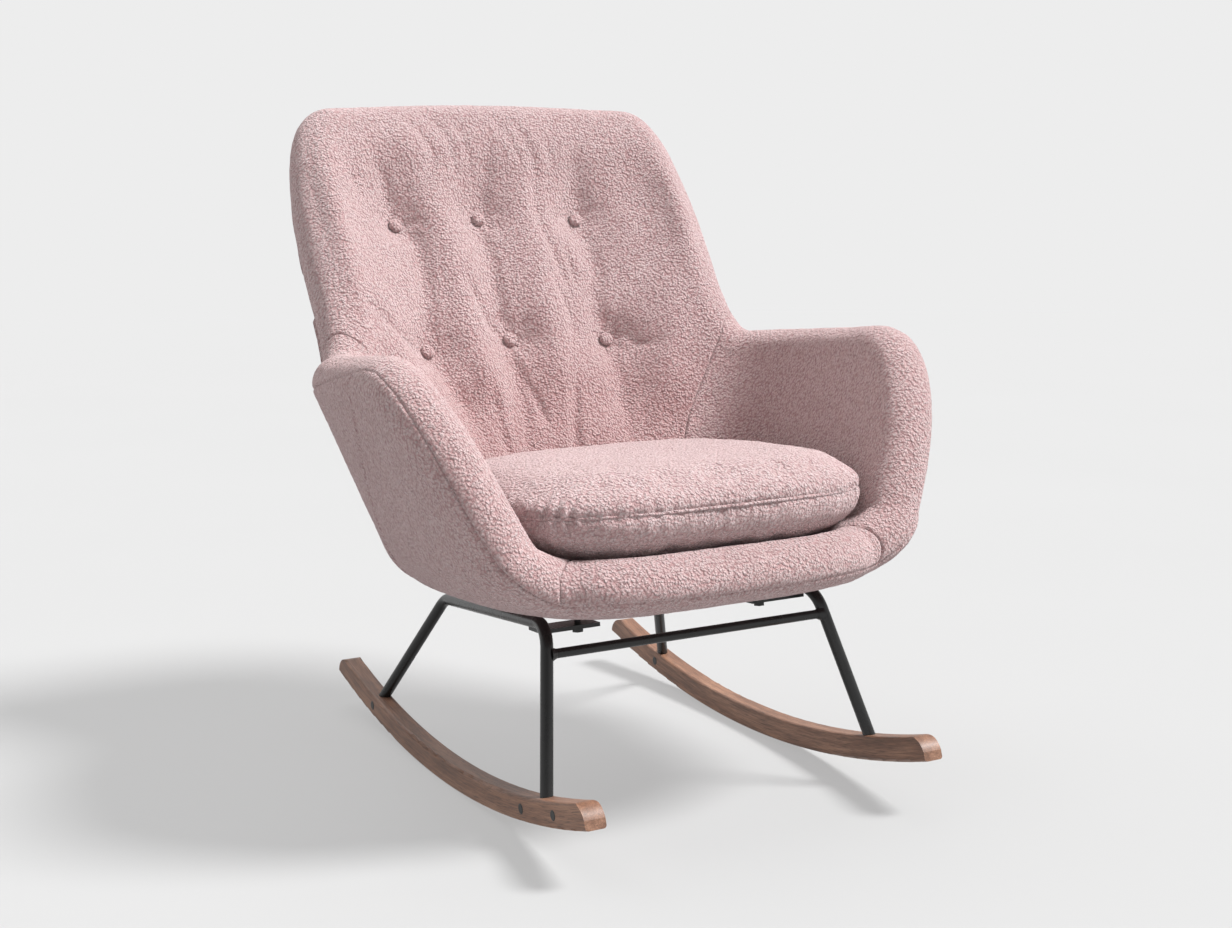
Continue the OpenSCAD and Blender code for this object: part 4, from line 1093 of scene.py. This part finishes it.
pads = [build_inner_back(), build_inner_arm(1, "inner_arm_pad_left", "inner_arm_left"),
        build_inner_arm(-1, "inner_arm_pad_right", "inner_arm_right"), build_front_roll(),
        build_outer_back(), build_outer_wrap(),
        build_dish("seat_deck_pad", "seat_deck", INNER_LOW, 1, 31.0, CLOTH["outer"], 6.0),
        build_dish("bottom_panel", "bottom_cover", OUTER_LOW, -1, 32.0, CLOTH["outer"], 3.0)]
for button in build_buttons():
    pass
cushion = build_cushion()
build_welt()

METAL = powder_black("powder_black", 0.0045, 0.28, 1100)
FINISH = {
    "walnut": walnut(), "black_steel": METAL, "black_cap": powder_black(
        "black_plastic", 0.018, 0.5, 500),
    "plain_steel": steel(), "plywood": plywood(), "twine": twine(),
}
DARK_FIXINGS = ("seat_bolts", "seat_washers")
for row in frame["record"]["subparts"]:
    obj = frame["nodes"][row["node"]]
    finish = FINISH.get("black_cap" if row["node"] in DARK_FIXINGS else row["material_slot"])
    if finish and not obj.hide_render:
        obj.data.materials.clear()
        obj.data.materials.append(finish)

# ---------------------------------------------------------------- studio

scene = bpy.context.scene


def studio_bowl():
    """A round floor that turns up into a wall all round, like a paper sweep."""
    flat, bend, tall, turns = 9.0, 2.5, 3.6, 128
    profile = [(r, 0.0) for r in (0.0, 0.8, 1.6, 2.6, 3.8, 6.0)]
    profile += [(flat + bend * math.sin(t), bend * (1 - math.cos(t)))
                for t in np.linspace(0, math.pi / 2, 24)]
    profile += [(flat + bend, bend + tall)]
    points = [(0, 0, 0)]
    for r, z in profile[1:]:
        points += [(r * math.cos(t), r * math.sin(t), z)
                   for t in np.linspace(0, 2 * math.pi, turns, endpoint=False)]
    faces = [[0, 1 + k, 1 + (k + 1) % turns] for k in range(turns)]
    for j in range(len(profile) - 2):
        for k in range(turns):
            m = (k + 1) % turns
            q = 1 + j * turns
            faces.append([q + k, q + turns + k, q + turns + m, q + m])
    floor = mesh_object("studio_floor", points, faces)
    floor.data.materials.append(backdrop())
    floor.visible_shadow = False


def look(obj, target):
    direction = Vector(target) - obj.location
    obj.rotation_euler = direction.to_track_quat("-Z", "Y").to_euler()


def sun_light(name, azimuth, height, strength, softness):
    """A far softbox: azimuth from +X, height over the floor and softness in degrees."""
    data = bpy.data.lights.new(name, "SUN")
    data.energy = strength
    data.angle = math.radians(softness)
    obj = bpy.data.objects.new(name, data)
    a, h = math.radians(azimuth), math.radians(height)
    obj.location = (3 * math.cos(a) * math.cos(h), 3 * math.sin(a) * math.cos(h),
                    3 * math.sin(h))
    look(obj, (0, 0, 0))
    scene.collection.objects.link(obj)


YAW, PITCH, ROLL = -27.948, 9.133, -0.7255  # the camera's turn, in degrees
TARGET, AWAY = (0.042687, 0.035, 0.39656), 2.42099  # what it looks at, and how far off
SENSOR, ZOOM = 36, 1736.018 / 1232  # sensor's width in mm, and focal length in widths


def make_camera():
    """The photo's camera, found from points that are level or symmetrical on the chair."""
    yaw, pitch, roll = (math.radians(v) for v in (YAW, PITCH, ROLL))
    back = Vector((math.sin(yaw) * math.cos(pitch), -math.cos(yaw) * math.cos(pitch),
                   math.sin(pitch)))
    right = Vector((math.cos(yaw), math.sin(yaw), 0))
    up = back.cross(right)
    tilted = right * math.cos(roll) + up * math.sin(roll)
    up = up * math.cos(roll) - right * math.sin(roll)
    data = bpy.data.cameras.new("camera")
    data.sensor_width = SENSOR
    data.lens = ZOOM * SENSOR
    camera = bpy.data.objects.new("camera", data)
    turn = Matrix((tilted, up, back)).transposed()
    camera.matrix_world = Matrix.Translation(Vector(TARGET) + back * AWAY) @ turn.to_4x4()
    scene.collection.objects.link(camera)
    scene.camera = camera


studio_bowl()
make_camera()
world = bpy.data.worlds.new("studio")
world.use_nodes = True
world.node_tree.nodes["Background"].inputs["Color"].default_value = (1, 1, 1, 1)
world.node_tree.nodes["Background"].inputs["Strength"].default_value = 0.24
scene.world = world
sun_light("key", azimuth=-30, height=52, strength=6.1, softness=17)
sun_light("behind", azimuth=100, height=60, strength=1.5, softness=60)
scene.view_settings.view_transform = "Standard"
